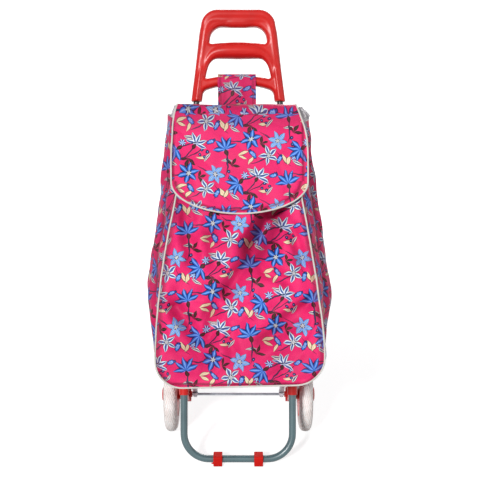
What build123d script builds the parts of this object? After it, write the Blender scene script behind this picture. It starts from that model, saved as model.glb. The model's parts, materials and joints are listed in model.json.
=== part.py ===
from build123d import *
from math import atan2, cos, degrees, pi, radians, sin, tan
import os

# Two-wheeled shopping trolley: a U-shaped tube frame with a moulded handle on top, two wheels on a
# fixed axle behind it, and a lined fabric bag with a lift-up flap in front of it.
#
# Every piece is drawn in the plane of the frame: X to the right, Y backwards from the uprights and
# Z up along them, from the middle of the foot bar.  place() leans the lot back until the wheels
# touch the floor and puts the origin on the floor, in the middle of the plan.  Sizes are in mm.

# ---- stance ---------------------------------------------------------------------------------
LEAN = 20.0                 # angle of the uprights from the vertical
WHEEL_D = 160.0
AXLE_SETBACK = 118.0        # axle behind the uprights
PAD_UNDER = 5.0             # thickness of the clip-on pads under the foot bar

# ---- frame tube -----------------------------------------------------------------------------
TUBE_D = 15.0
TUBE_WALL = 1.2
TUBE_FIT = 0.1              # radial clearance of tubes, sleeves, clips and screws
LEG_HALF = 112.0            # centre of a leg from the middle
FOOT_BEND_R = 52.0
TAPER = 7.3                 # lean of the upper uprights and the handle rails towards each other
TAPER_DROP = 177.0          # start of that lean below the bag's top
TAPER_BEND_R = 120.0
TUBE_TOP_DROP = 10.0        # end of the uprights below the bag's top

# ---- inner tubes that carry the handle --------------------------------------------------------
INNER_TUBE_WALL = 1.0
INNER_OVERLAP = 80.0        # length inside the frame tube

# ---- handle -----------------------------------------------------------------------------------
HANDLE_GAP = 26.0           # lower end of the rails above the bag's top
HANDLE_H = 189.5
RAIL_W = 22.0
HANDLE_DEPTH = 26.0
HANDLE_EDGE_R = 8.5
HANDLE_CORNER_R = 34.0
SOCKET_DEPTH = 42.0
WINDOW_TOP_R = 26.0         # upper corners of the two hand openings
WINDOW_LOW_R = 5.0
GRIP_SILL = (118.0, 4.0)    # height above the rails' ends, and rise in the middle
GRIP_HEAD = (154.0, 0.0)
MIDDLE_SILL = (46.0, 7.5)
MIDDLE_HEAD = (91.0, -2.8)
LOWER_ARCH = (22.0, 13.0)
LOWER_ARCH_R = 14.0

# ---- axle bracket -----------------------------------------------------------------------------
SLEEVE_WALL = 2.65
SLEEVE_L = 51.0
SLEEVE_RISE = 18.2          # lower end of the sleeve above the axle
ARM_HALF_W = 6.0
ARM_WEB = 5.0
ARM_BORDER = 6.0
BOSS_R = 16.0
BOSS_HALF_L = 9.0
NECK_R = 6.5                # narrow collar on the inboard side of the boss
NECK_L = 2.5
CROSS_TUBE_D = 10.0
CROSS_TUBE_WALL = 1.0
STUB_WALL = 2.4
STUB_L = 8.0

# ---- axle and wheels ----------------------------------------------------------------------------
AXLE_D = 6.0
AXLE_FIT = 0.05             # radial running clearance on the axle
WHEEL_GAP = 25.0            # middle of the wheel outboard of the boss
TYRE_W = 32.0
TYRE_SECTION = 30.0         # height of the tyre over the rim
TYRE_CROWN = 23.0           # height of the tyre above its widest place
RIM_W = 27.0
RIM_WALL = 4.0
HUB_R = 11.0
HUB_L = 32.0
HUB_GAP = 0.2               # axial play on each side of a washer
DISH = 8.0                  # how far the disc stands in at the hub
RIB_COUNT = 6
RIB_W = 3.0
CAP_R = 15.5
CAP_L = 14.0
CAP_GRIP = 3.0              # length over the hub
CAP_EDGE_R = 4.0
WASHER_R = 7.0
WASHER_T = 1.6

# ---- foot pads ----------------------------------------------------------------------------------
PAD_X = 42.0
PAD_W = 18.5
PAD_CORNER_R = 4.0
PAD_SLIT = 9.0

# ---- support shelf ------------------------------------------------------------------------------
WIRE_D = 6.0
CROSS_WIRE_D = 4.0
SHELF_INSET = 28.0          # side wires inboard of the legs
SHELF_SHORT = 50.0          # front wire behind the bag's front
SHELF_PIVOT_Y = 30.0
SHELF_BEND_R = 14.0
CROSS_WIRES = 3
REST_GAP = 0.2              # shelf over the cross tube

# ---- bag ------------------------------------------------------------------------------------------
BAG_H = 532.0               # bottom to flap ridge
BAG_WALL = 3.0
BAG_STANDOFF = 1.25         # back of the bag in front of the sleeves
BAG_DEPTH = 188.5           # at the bottom
BAG_TOP_DEPTH = 139.5       # at the ridge
BAG_CORNER_R = 46.0
COLLAR_H = 40.0             # bag's mouth below the ridge
BELLY_RISE = 165.0          # widest place above the bottom
WAIST_DROP = 192.0          # waist below the ridge
FOOT_LEVEL = (155.0, 163.0, 160.0)        # half widths at the front, middle and back
BELLY_LEVEL = (147.0, 178.0, 165.0)
WAIST_LEVEL = (118.0, 157.5, 150.0)
MOUTH_LEVEL = (95.0, 141.0, 135.0)
BOARD_T = 3.0
BOARD_INSET = 9.0
PIPING_D = 4.0
SOFT_GAP = 0.3              # soft pieces stand this far from their neighbours

# ---- collar, flap and straps ------------------------------------------------------------------------
COLLAR_WALL = 2.5
COLLAR_TOP = (88.0, 112.0, 105.0)
COLLAR_LEAN = 19.0          # front of the collar's top behind the ridge
COLLAR_BACK_LEAN = 4.0
FLAP_T = 3.0
FLAP_STANDOFF = 5.0         # flap in front of the front panel
FLAP_TOP_HALF = 113.5
FLAP_SHOULDER = (126.5, 72.0)             # half width, and how far below the ridge
FLAP_SIDE = (127.0, 149.0)
FLAP_BOW = 60.0             # depth of the flap's rounded lower edge
FLAP_RIDGE_R = 9.0
HINGE_SETOFF = 7.5          # flap's back edge in front of the bag's back
PATCH = (70.0, 20.0, 1.3)   # hook-and-loop patch: width, height, thickness
PATCH_DROP = 172.0
PATCH_GAP = 0.2
STRAP_W = 78.0
STRAP_T = 2.0
STRAP_SLACK = 0.7           # round the rung
STRAP_FOOT_DROP = 72.0      # ends of the sewn tail below the ridge
STRAP_TAIL_DROP = 22.0
TAB_W = 9.5
TAB_T = 3.0
TAB_FOOT = (8.0, 30.0)      # sewn tail of a tab above the bag's bottom

# ---- fasteners --------------------------------------------------------------------------------------
SCREW_R = 2.0
SCREW_HEAD_R = 4.0
SCREW_HEAD_H = 2.4
BRACKET_SCREW_RISE = 19.0   # above the sleeve's lower end
HANDLE_SCREW_RISE = 22.0    # above the rails' ends
RIVET_DROP = 30.0           # below the uprights' ends

SIDES = {"left": -1, "right": 1}

# ---- values that follow ---------------------------------------------------------------------------
FLOOR_LEAN = radians(LEAN)
TUBE_R = TUBE_D / 2
PAD_DROP = TUBE_R + PAD_UNDER
AXLE_RISE = (WHEEL_D / 2 - PAD_DROP + AXLE_SETBACK * sin(FLOOR_LEAN)) / cos(FLOOR_LEAN)
SLEEVE_D = TUBE_D + 2 * (TUBE_FIT + SLEEVE_WALL)
SLEEVE_Z = (AXLE_RISE + SLEEVE_RISE, AXLE_RISE + SLEEVE_RISE + SLEEVE_L)
BAG_Z = SLEEVE_Z[1] - 4
BAG_BACK_W = SLEEVE_D / 2 + BAG_STANDOFF
BAG_FRONT_W = BAG_BACK_W + BAG_DEPTH
BAG_TOP_REACH = BAG_BACK_W + BAG_TOP_DEPTH
BAG_TOP_Z = BAG_Z + BAG_H
BAG_MOUTH_Z = BAG_TOP_Z - COLLAR_H
BELLY_Z = BAG_Z + BELLY_RISE
WAIST_Z = BAG_TOP_Z - WAIST_DROP
FRONT_SLOPE = (BAG_FRONT_W - BAG_TOP_REACH) / BAG_H
FRONT_TILT = degrees(atan2(FRONT_SLOPE, 1.0))
SLOPE = tan(radians(TAPER))
TAPER_START_Z = BAG_TOP_Z - TAPER_DROP
TUBE_TOP_Z = BAG_TOP_Z - TUBE_TOP_DROP
RIVET_Z = TUBE_TOP_Z - RIVET_DROP
INNER_TUBE_D = TUBE_D - 2 * (TUBE_WALL + TUBE_FIT)
HANDLE_Z = BAG_TOP_Z + HANDLE_GAP
HANDLE_SCREW_Z = HANDLE_Z + HANDLE_SCREW_RISE
RUNG_TOP = MIDDLE_SILL[0] + MIDDLE_SILL[1]
RUNG_FOOT = LOWER_ARCH[0] + LOWER_ARCH[1]
RUNG_Z = HANDLE_Z + (RUNG_TOP + RUNG_FOOT) / 2
RUNG_HALF_H = (RUNG_TOP - RUNG_FOOT) / 2
BOSS_X = (LEG_HALF - BOSS_HALF_L, LEG_HALF + BOSS_HALF_L)
WHEEL_X = BOSS_X[1] + WHEEL_GAP
HUB_START = BOSS_X[1] + WASHER_T + 2 * HUB_GAP
HUB_X = (HUB_START, HUB_START + HUB_L)
CAP_END = HUB_X[1] - CAP_GRIP + CAP_L
AXLE_HALF = CAP_END - CAP_EDGE_R - 1
TYRE_BEAD_R = WHEEL_D / 2 - TYRE_SECTION
TYRE_BELLY_R = WHEEL_D / 2 - TYRE_CROWN
TAB_END = BOSS_X[0] - NECK_L - 0.5
TAB_X = (TAB_END - TAB_W, TAB_END)
SHELF_HALF = LEG_HALF - SHELF_INSET
SHELF_REACH = BAG_FRONT_W - SHELF_SHORT
SHELF_Z = BAG_Z - SOFT_GAP - WIRE_D / 2
CROSS_TUBE_Z = SHELF_Z - WIRE_D / 2 - REST_GAP - CROSS_TUBE_D / 2
BRACKET_SCREW_Z = SLEEVE_Z[0] + BRACKET_SCREW_RISE
HINGE_W = BAG_BACK_W + HINGE_SETOFF
FLAP_TOP_Z = BAG_TOP_Z + SOFT_GAP
FLAP_SIDE_HALF = FLAP_SIDE[0]
FLAP_SIDE_Z = BAG_TOP_Z - FLAP_SIDE[1]
PATCH_Z = BAG_TOP_Z - PATCH_DROP
PLAN_FRONT = -(BAG_FRONT_W + PIPING_D) * cos(FLOOR_LEAN) + BAG_Z * sin(FLOOR_LEAN)
PLAN_BACK = HANDLE_DEPTH / 2 * cos(FLOOR_LEAN) + (HANDLE_Z + HANDLE_H) * sin(FLOOR_LEAN)
BIG = 600.0                 # larger than any piece it cuts


def place(shape):
    """Leans a shape back and stands it on the floor, with the origin in the middle of the plan."""
    return Pos(0, -(PLAN_FRONT + PLAN_BACK) / 2, PAD_DROP) * Rot(-LEAN, 0, 0) * shape


def save(name, *shapes):
    """Places the shapes and writes them as one node."""
    placed = [place(s) for shape in shapes for s in shape.solids()]
    export_step(placed[0] if len(placed) == 1 else Compound(placed), f"parts/{name}.step")


def rod(start, end, radius):
    """A cylinder from one point to another."""
    axis = Vector(end) - Vector(start)
    return extrude(Plane(start, z_dir=axis) * Circle(radius), axis.length)


def pipe(path, radius, bore=0.0):
    """A round bar or tube along a path."""
    section = Circle(radius) - Circle(bore) if bore else Circle(radius)
    return sweep(Plane(path @ 0, z_dir=path % 0) * section, path)


def rounded_path(points):
    """Straight runs through the points, joined by tangent arcs as large as the runs allow."""
    spots = [Vector(*p) for p in points]
    radii = []
    for before, corner, after in zip(spots, spots[1:], spots[2:]):
        run_in, run_out = corner - before, after - corner
        turn = radians(run_in.get_angle(run_out))
        radii.append(0.45 * min(run_in.length, run_out.length) / tan(turn / 2))
    return FilletPolyline(*spots, radius=radii)


def profile_yz(points):
    """A closed face in the YZ plane."""
    return make_face(Polyline([(0, y, z) for y, z in points], close=True))


def slab_x(face, low, high):
    """A face in the YZ plane, thickened from X = low to X = high."""
    return Pos(low, 0, 0) * extrude(face, high - low, dir=(1, 0, 0))


def block(x, y, z):
    """A box from its lowest to its highest corner."""
    size = [high - low for low, high in (x, y, z)]
    return Pos(*[(low + high) / 2 for low, high in (x, y, z)]) * Box(*size)


def upright_x(z):
    """Distance of an upright's middle from the centre plane."""
    return LEG_HALF - max(0.0, z - TAPER_START_Z) * SLOPE


def front_w(z):
    """Reach of the bag's front plane in front of the uprights."""
    return BAG_FRONT_W - (z - BAG_Z) * FRONT_SLOPE


# ---- frame ----------------------------------------------------------------------------------------


def frame_tube():
    """One tube: foot bar, two legs, and uprights that lean together towards the handle."""
    top = (upright_x(TUBE_TOP_Z), 0, TUBE_TOP_Z)
    shoulder = (LEG_HALF, 0, TAPER_START_Z)
    foot = (LEG_HALF, 0, 0)
    right = [foot, shoulder, top]
    left = [(-x, y, z) for x, y, z in reversed(right)]
    radii = [TAPER_BEND_R, FOOT_BEND_R, FOOT_BEND_R, TAPER_BEND_R]
    path = FilletPolyline(*left, *right, radius=radii)
    tube = pipe(path, TUBE_R, TUBE_R - TUBE_WALL)
    for side in SIDES.values():
        tube -= rod((side * LEG_HALF, 0, BRACKET_SCREW_Z),
                    (side * (LEG_HALF + TUBE_D), 0, BRACKET_SCREW_Z), SCREW_R + TUBE_FIT)
        x = side * upright_x(RIVET_Z)
        tube -= rod((x, 0, RIVET_Z), (x, TUBE_D, RIVET_Z), SCREW_R + TUBE_FIT)
    return tube


def inner_tube(side):
    """Thin dark tube between an upright and the handle."""
    low, high = TUBE_TOP_Z - INNER_OVERLAP, HANDLE_Z + SOCKET_DEPTH - 2
    ends = [(side * upright_x(z), 0, z) for z in (low, high)]
    tube = rod(*ends, INNER_TUBE_D / 2) - rod(*ends, INNER_TUBE_D / 2 - INNER_TUBE_WALL)
    for z in (RIVET_Z, HANDLE_SCREW_Z):
        x = side * upright_x(z)
        tube -= rod((x, 0, z), (x, TUBE_D, z), SCREW_R + TUBE_FIT)
    return tube


def foot_pad(side):
    """Clip-on pad round the foot bar, turned so that its flat side meets the floor."""
    section = fillet(Rectangle(2 * PAD_DROP, 2 * PAD_DROP).vertices(), PAD_CORNER_R)
    section -= Circle(TUBE_R + TUBE_FIT)
    section -= Pos(PAD_DROP, 0) * Rectangle(2 * PAD_DROP, PAD_SLIT)
    x = side * PAD_X
    pad = slab_x(Plane.YZ * section, x - PAD_W / 2, x + PAD_W / 2)
    return Rot(LEAN, 0, 0) * pad


def cross_tube():
    """Tube between the two axle brackets, under the shelf."""
    ends = [(side * (LEG_HALF - TUBE_R - 1.5), 0, CROSS_TUBE_Z) for side in (-1, 1)]
    radius = CROSS_TUBE_D / 2
    return rod(*ends, radius) - rod(*ends, radius - CROSS_TUBE_WALL)


def support_shelf():
    """Wire shelf under the bag, hooked into the two brackets."""
    back, half = SHELF_PIVOT_Y, SHELF_HALF
    right = [(half, -SHELF_REACH, SHELF_Z), (half, back, SHELF_Z), (LEG_HALF, back, SHELF_Z)]
    left = [(-x, y, z) for x, y, z in reversed(right)]
    shelf = pipe(FilletPolyline(*left, *right, radius=SHELF_BEND_R), WIRE_D / 2)
    for n in range(CROSS_WIRES):
        y = -SHELF_REACH * (n + 0.35) / CROSS_WIRES
        shelf += rod((-half, y, SHELF_Z), (half, y, SHELF_Z), CROSS_WIRE_D / 2)
    return shelf


# ---- handle ---------------------------------------------------------------------------------------


def rail_edge(height, inner):
    """Outer or inner edge of a rail, from the centre plane, at a height above the rails' ends."""
    width = RAIL_W / cos(radians(TAPER)) / 2
    return upright_x(HANDLE_Z) - height * SLOPE + (-width if inner else width)


def window(foot, crown, low_r, high_r):
    """Opening between the rails, with curved sill and head, as a face in the XZ plane."""
    low, low_rise = foot
    high, high_rise = crown
    a, b = rail_edge(low, True), rail_edge(high, True)
    corners = [(-a, low), (a, low), (b, high), (-b, high)]
    sill = (Line(corners[0], corners[1]) if not low_rise
            else ThreePointArc(corners[0], (0, low + low_rise), corners[1]))
    head = (Line(corners[2], corners[3]) if not high_rise
            else ThreePointArc(corners[2], (0, high + high_rise), corners[3]))
    sides = [Line(corners[1], corners[2]), Line(corners[3], corners[0])]
    face = make_face(Curve() + [sill, sides[0], head, sides[1]])
    by_height = face.vertices().sort_by(Axis.Y)
    if low_r:
        face = fillet(by_height[:2], low_r)
        by_height = face.vertices().sort_by(Axis.Y)
    return fillet(by_height[-2:], high_r)


def handle():
    """Ladder handle of moulded plastic: two rails, a grip and two rungs in one piece."""
    a, b = rail_edge(0, False), rail_edge(HANDLE_H, False)
    body = make_face(Polyline((-a, 0), (a, 0), (b, HANDLE_H), (-b, HANDLE_H), close=True))
    body = fillet(body.vertices().sort_by(Axis.Y)[-2:], HANDLE_CORNER_R)
    body -= window(GRIP_SILL, GRIP_HEAD, WINDOW_LOW_R, WINDOW_TOP_R)
    body -= window(MIDDLE_SILL, MIDDLE_HEAD, WINDOW_LOW_R, WINDOW_TOP_R)
    body -= window((-10, 0), LOWER_ARCH, 0, LOWER_ARCH_R)
    body = Pos(0, 0, HANDLE_Z) * extrude(Plane.XZ * body, HANDLE_DEPTH / 2, both=True)
    faces = body.faces().filter_by(Axis.Y).sort_by(Axis.Y)
    rims = [e for f in (faces[0], faces[-1]) for e in f.edges() if e.center().Z > HANDLE_Z + 1]
    body = fillet(rims, HANDLE_EDGE_R)
    for side in SIDES.values():
        start = (side * upright_x(HANDLE_Z - 5), 0, HANDLE_Z - 5)
        end_z = HANDLE_Z + SOCKET_DEPTH
        body -= rod(start, (side * upright_x(end_z), 0, end_z), INNER_TUBE_D / 2 + TUBE_FIT)
        x, back = side * upright_x(HANDLE_SCREW_Z), HANDLE_DEPTH / 2
        body -= rod((x, 0, HANDLE_SCREW_Z), (x, back + 1, HANDLE_SCREW_Z), SCREW_R + TUBE_FIT)
        body -= rod((x, back - SCREW_HEAD_H, HANDLE_SCREW_Z), (x, back + 1, HANDLE_SCREW_Z),
                    SCREW_HEAD_R + TUBE_FIT)
    return body


# ---- axle brackets --------------------------------------------------------------------------------


def axle_bracket(side):
    """Sleeve round an upright, ribbed arm and axle boss, moulded in one piece."""
    y0, z0 = AXLE_SETBACK, AXLE_RISE
    low, high = SLEEVE_Z[0] + 3, SLEEVE_Z[1] - 2
    arm = profile_yz([(4, low), (4, high), (SHELF_PIVOT_Y + 8, high),
                      (y0 + BOSS_R * 0.5, z0 + BOSS_R * 0.8), (y0 - BOSS_R * 0.3, z0 - BOSS_R * 0.9)])
    body = slab_x(arm, LEG_HALF - ARM_HALF_W, LEG_HALF + ARM_HALF_W)
    pocket = offset(arm, -ARM_BORDER, kind=Kind.INTERSECTION)
    for low_x, high_x in ((-ARM_HALF_W - 1, -ARM_WEB / 2), (ARM_WEB / 2, ARM_HALF_W + 1)):
        body -= slab_x(pocket, LEG_HALF + low_x, LEG_HALF + high_x)
    body += rod((LEG_HALF, 0, SLEEVE_Z[0]), (LEG_HALF, 0, SLEEVE_Z[1]), SLEEVE_D / 2)
    body += rod((BOSS_X[0], y0, z0), (BOSS_X[1], y0, z0), BOSS_R)
    body += rod((BOSS_X[0] - NECK_L, y0, z0), (BOSS_X[0], y0, z0), NECK_R)
    pivot = (SHELF_PIVOT_Y, SHELF_Z)
    body += rod((LEG_HALF - ARM_HALF_W, *pivot), (LEG_HALF + ARM_HALF_W, *pivot), WIRE_D)
    stub_x = LEG_HALF - SLEEVE_D / 2 - STUB_L
    stub_r = CROSS_TUBE_D / 2 + TUBE_FIT + STUB_WALL
    body += rod((stub_x, 0, CROSS_TUBE_Z), (LEG_HALF, 0, CROSS_TUBE_Z), stub_r)
    body = body.clean()
    body -= rod((LEG_HALF, 0, 0), (LEG_HALF, 0, BIG), TUBE_R + TUBE_FIT)
    body -= rod((stub_x - 1, 0, CROSS_TUBE_Z), (LEG_HALF, 0, CROSS_TUBE_Z),
                CROSS_TUBE_D / 2 + TUBE_FIT)
    body -= rod((0, y0, z0), (BIG, y0, z0), AXLE_D / 2 + AXLE_FIT)
    body -= rod((0, *pivot), (LEG_HALF + 0.5, *pivot), WIRE_D / 2 + TUBE_FIT)
    body -= rod((LEG_HALF, 0, BRACKET_SCREW_Z), (BIG, 0, BRACKET_SCREW_Z), SCREW_R + TUBE_FIT)
    return body if side > 0 else mirror(body, about=Plane.YZ)


# ---- axle and wheels ------------------------------------------------------------------------------


def on_axle(face, side):
    """Spins a face, drawn as (X, radius), about the axle; the left one is the mirror image."""
    ring = revolve(Plane.XZ * face, Axis.X)
    ring = Pos(0, AXLE_SETBACK, AXLE_RISE) * ring
    return ring if side > 0 else mirror(ring, about=Plane.YZ)


def washer(x, radius, thickness, side):
    """Flat ring on the axle, from X = x outwards."""
    y0, z0 = AXLE_SETBACK, AXLE_RISE
    ends = (side * x, y0, z0), (side * (x + thickness), y0, z0)
    return rod(*ends, radius) - rod(*ends, AXLE_D / 2 + AXLE_FIT)


def rim(side):
    """Dished wheel disc with its hub, barrel and ribs."""
    inner, outer = WHEEL_X - RIM_W / 2, WHEEL_X + RIM_W / 2
    bore, seat = AXLE_D / 2 + AXLE_FIT, TYRE_BEAD_R - RIM_WALL
    disc = inner + RIM_WALL
    face = make_face(Polyline(
        (HUB_X[0], bore), (HUB_X[0], HUB_R), (inner + RIM_WALL - DISH, HUB_R), (inner, seat),
        (inner, TYRE_BEAD_R), (outer, TYRE_BEAD_R), (outer, seat), (disc, seat),
        (disc + RIM_WALL - DISH, HUB_R), (HUB_X[1], HUB_R), (HUB_X[1], bore), close=True))
    body = on_axle(face, side)
    rib_top = outer - RIM_WALL
    start_x = disc + RIM_WALL - DISH - 1
    for n in range(RIB_COUNT):
        rib = block((start_x, rib_top), (-RIB_W / 2, RIB_W / 2), (CAP_R + 1, seat + 1))
        rib = Pos(0, AXLE_SETBACK, AXLE_RISE) * Rot(360 / RIB_COUNT * n, 0, 0) * rib
        body += rib if side > 0 else mirror(rib, about=Plane.YZ)
    return body


def tyre(side):
    """Soft tyre with an elliptical crown."""
    half_h = WHEEL_D / 2 - TYRE_BELLY_R
    crown = Pos(WHEEL_X, TYRE_BELLY_R) * Ellipse(TYRE_W / 2, half_h)
    above_bead = Pos(WHEEL_X, TYRE_BEAD_R + BIG / 2) * Rectangle(BIG, BIG)
    return on_axle((crown & above_bead).face(), side)


def hub_cap(side):
    """Cap that snaps over the hub and hides the axle's end."""
    start, end = HUB_X[1] - CAP_GRIP, CAP_END
    y0, z0 = AXLE_SETBACK, AXLE_RISE
    body = rod((start, y0, z0), (end, y0, z0), CAP_R)
    body = fillet(body.edges().sort_by(Axis.X)[-1], CAP_EDGE_R)
    body -= rod((start - 1, y0, z0), (end - CAP_EDGE_R, y0, z0), HUB_R + TUBE_FIT)
    return body if side > 0 else mirror(body, about=Plane.YZ)


# ---- bag ------------------------------------------------------------------------------------------


def level_at(z):
    """Half widths of the bag at the front, middle and back, at a height."""
    known = [(BAG_Z, FOOT_LEVEL), (BELLY_Z, BELLY_LEVEL), (WAIST_Z, WAIST_LEVEL),
             (BAG_MOUTH_Z, MOUTH_LEVEL)]
    for (z_low, low), (z_high, high) in zip(known, known[1:]):
        if z <= z_high:
            share = (z - z_low) / (z_high - z_low)
            return [a + (b - a) * share for a, b in zip(low, high)]
    return list(MOUTH_LEVEL)


def six_sided(halves, front, back, z):
    """Plan section of a soft piece, wider in the middle than at the front."""
    f, m, b = halves
    middle = (front + back) / 2
    points = [(f, -front), (m, -middle), (b, -back)]
    ring = points + [(-x, y) for x, y in reversed(points)]
    return make_face(Polyline([(x, y, z) for x, y in ring], close=True))


def bag_volume(inset):
    """Solid of the bag's outside, or of its inside when inset by the wall."""
    sections = []
    radius = BAG_CORNER_R - inset
    for angle in (0, 30, 60, 90):
        z = BAG_Z + inset + radius * (1 - cos(radians(angle)))
        cut = radius * (1 - sin(radians(angle)))
        sections.append((z, [half - inset - cut for half in level_at(z)]))
    for z in (BELLY_Z, WAIST_Z, BAG_MOUTH_Z):
        sections.append((z, [half - inset for half in level_at(z)]))
    faces = [six_sided(halves, front_w(z) - inset, BAG_BACK_W + inset, z)
             for z, halves in sections]
    return loft(faces, ruled=True)


def front_slab(near, far):
    """Everything between two planes parallel to the bag's front, measured outwards from it."""
    slab = block((-BIG, BIG), (-far, -near), (-BIG, BIG))
    return Pos(0, -BAG_FRONT_W, BAG_Z) * Rot(-FRONT_TILT, 0, 0) * slab


def bag_panels():
    """The bag's cloth, cut into front, back, sides and base."""
    shell = bag_volume(0) - bag_volume(BAG_WALL)
    front = shell & front_slab(-BAG_WALL - 0.2, 1)
    rest = shell - front_slab(-BAG_WALL - 0.2, 1)
    behind = block((-BIG, BIG), (-BAG_BACK_W - BAG_WALL, BIG), (0, BIG * 2))
    back, rest = rest & behind, rest - behind
    under = block((-BIG, BIG), (-BIG, BIG), (0, BAG_Z + BAG_WALL))
    base, rest = rest & under, rest - under
    right = rest & block((0, BIG), (-BIG, BIG), (0, BIG * 2))
    left = rest & block((-BIG, 0), (-BIG, BIG), (0, BIG * 2))
    top = BAG_TOP_Z - FLAP_T
    half = COLLAR_TOP[2] + 3
    y_back, y_front = -BAG_BACK_W, -BAG_BACK_W - BAG_WALL
    back += block((-half, half), (y_front, y_back), (BAG_MOUTH_Z - 1, top))
    back += block((-half, half), (-HINGE_W + SOFT_GAP, y_back), (top - BAG_WALL, top))
    return {"bag_front": front, "bag_back": back.clean(), "bag_base": base,
            "bag_side_left": left, "bag_side_right": right}


def base_board():
    """Stiff board that lies on the bag's bottom."""
    half = FOOT_LEVEL[0] - BAG_CORNER_R - 2
    z = BAG_Z + BAG_WALL + SOFT_GAP
    front, back = BAG_FRONT_W - BAG_WALL - BOARD_INSET, BAG_BACK_W + BAG_WALL + BOARD_INSET / 3
    board = block((-half, half), (-front, -back), (z, z + BOARD_T))
    return fillet(board.edges().filter_by(Axis.Z), 12)


def bag_collar():
    """Lining that rises from the bag's mouth and closes in under the flap."""
    def volume(inset):
        back = BAG_BACK_W + BAG_WALL + SOFT_GAP + inset
        low = [half - 0.2 - inset for half in MOUTH_LEVEL]
        high = [half - inset for half in COLLAR_TOP]
        faces = [six_sided(low, front_w(BAG_MOUTH_Z) - 0.2 - inset, back, BAG_MOUTH_Z),
                 six_sided(high, BAG_TOP_REACH - COLLAR_LEAN - inset, back + COLLAR_BACK_LEAN,
                           BAG_TOP_Z - FLAP_T)]
        return loft(faces, ruled=True)
    welt = block((-BIG, BIG), (-HINGE_W, 0), (BAG_TOP_Z - FLAP_T - BAG_WALL - 1, BAG_TOP_Z))
    return volume(0) - volume(COLLAR_WALL) - welt


def bag_piping():
    """Piping round the front panel's sides and bottom, proud of its face."""
    lift = PIPING_D / 2 + SOFT_GAP
    bottom = BAG_Z + PIPING_D / 2
    corner = [(FOOT_LEVEL[0] - BAG_CORNER_R * (1 - sin(radians(a))),
               bottom + BAG_CORNER_R * (1 - cos(radians(a)))) for a in (85, 55, 25)]
    outline = [(MOUTH_LEVEL[0], BAG_MOUTH_Z - 4), (WAIST_LEVEL[0], WAIST_Z),
               (BELLY_LEVEL[0], BELLY_Z), *corner, (FOOT_LEVEL[0] - BAG_CORNER_R - 12, bottom)]
    right = [(x - 1, -front_w(z) - lift, z) for x, z in outline]
    left = [(-x, y, z) for x, y, z in reversed(right)]
    return pipe(rounded_path(right + left), PIPING_D / 2)


def hang_strap():
    """Cloth loop, sewn to the bag's back, that hangs the bag from the handle's lowest rung."""
    reach = HANDLE_DEPTH / 2 + STRAP_SLACK
    rise = RUNG_HALF_H + STRAP_SLACK
    turn = rise / 2
    tail_y = -BAG_BACK_W + SOFT_GAP
    tail_end = tail_y + STRAP_T + 0.6
    tail_z = BAG_TOP_Z - STRAP_TAIL_DROP
    loop = [(tail_y, tail_z), (-reach, RUNG_Z - rise), (-reach, RUNG_Z + rise - turn),
            (-reach + turn, RUNG_Z + rise), (reach - turn, RUNG_Z + rise),
            (reach, RUNG_Z + rise - turn), (reach, RUNG_Z - rise), (tail_end, tail_z)]
    inside = profile_yz(loop)
    ring = offset(inside, STRAP_T, kind=Kind.INTERSECTION) - inside
    ring = slab_x(ring, -STRAP_W / 2, STRAP_W / 2)
    bag_back = block((-BIG, BIG), (-BIG, tail_y), (0, BAG_TOP_Z - 2))
    tail = block((-STRAP_W / 2, STRAP_W / 2), (tail_y, tail_end),
                 (BAG_TOP_Z - STRAP_FOOT_DROP, tail_z))
    return ring - bag_back + tail


def axle_tab(side):
    """Cloth tab that ties the bag's lower back edge to the axle."""
    eye = AXLE_D / 2 + SOFT_GAP
    top = Vector(-BAG_BACK_W + SOFT_GAP + TAB_T / 2, BAG_Z + TAB_FOOT[0] + 4)
    axle = Vector(AXLE_SETBACK, AXLE_RISE)
    along = (axle - top).normalized()
    across = Vector(-along.Y, along.X) * (TAB_T / 2)
    strip = [top + across, axle + across, axle - across, top - across]
    face = profile_yz([(p.X, p.Y) for p in strip])
    low_x, high_x = TAB_X
    tab = slab_x(face, low_x, high_x)
    tab += rod((low_x, axle.X, axle.Y), (high_x, axle.X, axle.Y), eye + TAB_T)
    tail_y = -BAG_BACK_W + SOFT_GAP
    foot, head = [BAG_Z + z for z in TAB_FOOT]
    tab += block((low_x, high_x), (tail_y, tail_y + TAB_T), (foot, head))
    tab -= rod((0, axle.X, axle.Y), (BIG, axle.X, axle.Y), eye)
    tab -= block((0, BIG), (-BIG, tail_y), (0, BIG))
    return tab if side > 0 else mirror(tab, about=Plane.YZ)


# ---- flap -----------------------------------------------------------------------------------------


def flap_edge(grow):
    """Points (X, Z) down the flap's right edge to its lowest point, grown outwards."""
    top = FLAP_TOP_HALF + grow, FLAP_TOP_Z + 1
    shoulder = FLAP_SHOULDER[0] + grow, BAG_TOP_Z - FLAP_SHOULDER[1]
    wide, drop = FLAP_SIDE_HALF + grow, FLAP_BOW + grow
    curve = [(wide * cos(radians(a)), FLAP_SIDE_Z - drop * sin(radians(a)))
             for a in (0, 25, 45, 65, 90)]
    return [top, shoulder, *curve]


def both_sides(right):
    """The right-hand points followed by their mirror images in reverse order."""
    return right + [(-p[0], *p[1:]) for p in reversed(right) if p[0] > 0.01]


def flap_panel():
    """Lid of the bag: a top that reaches forward from the hinge, and a rounded front."""
    mid_z, low = FLAP_TOP_Z - FLAP_T / 2, FLAP_SIDE_Z - FLAP_BOW - 5
    ridge, hem = [front_w(z) + FLAP_STANDOFF + FLAP_T / 2 for z in (mid_z, low)]
    path = FilletPolyline((0, -HINGE_W, mid_z), (0, -ridge, mid_z), (0, -hem, low),
                          radius=FLAP_RIDGE_R)
    start = Plane(path @ 0, x_dir=(1, 0, 0), z_dir=path % 0)
    sheet = sweep(start * Rectangle(BIG, FLAP_T), path)
    edge = both_sides(flap_edge(0))
    outline = make_face(Curve() + [Spline(*edge), Line(edge[-1], edge[0])])
    return sheet & extrude(Plane.XZ * outline, BIG, both=True)


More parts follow.
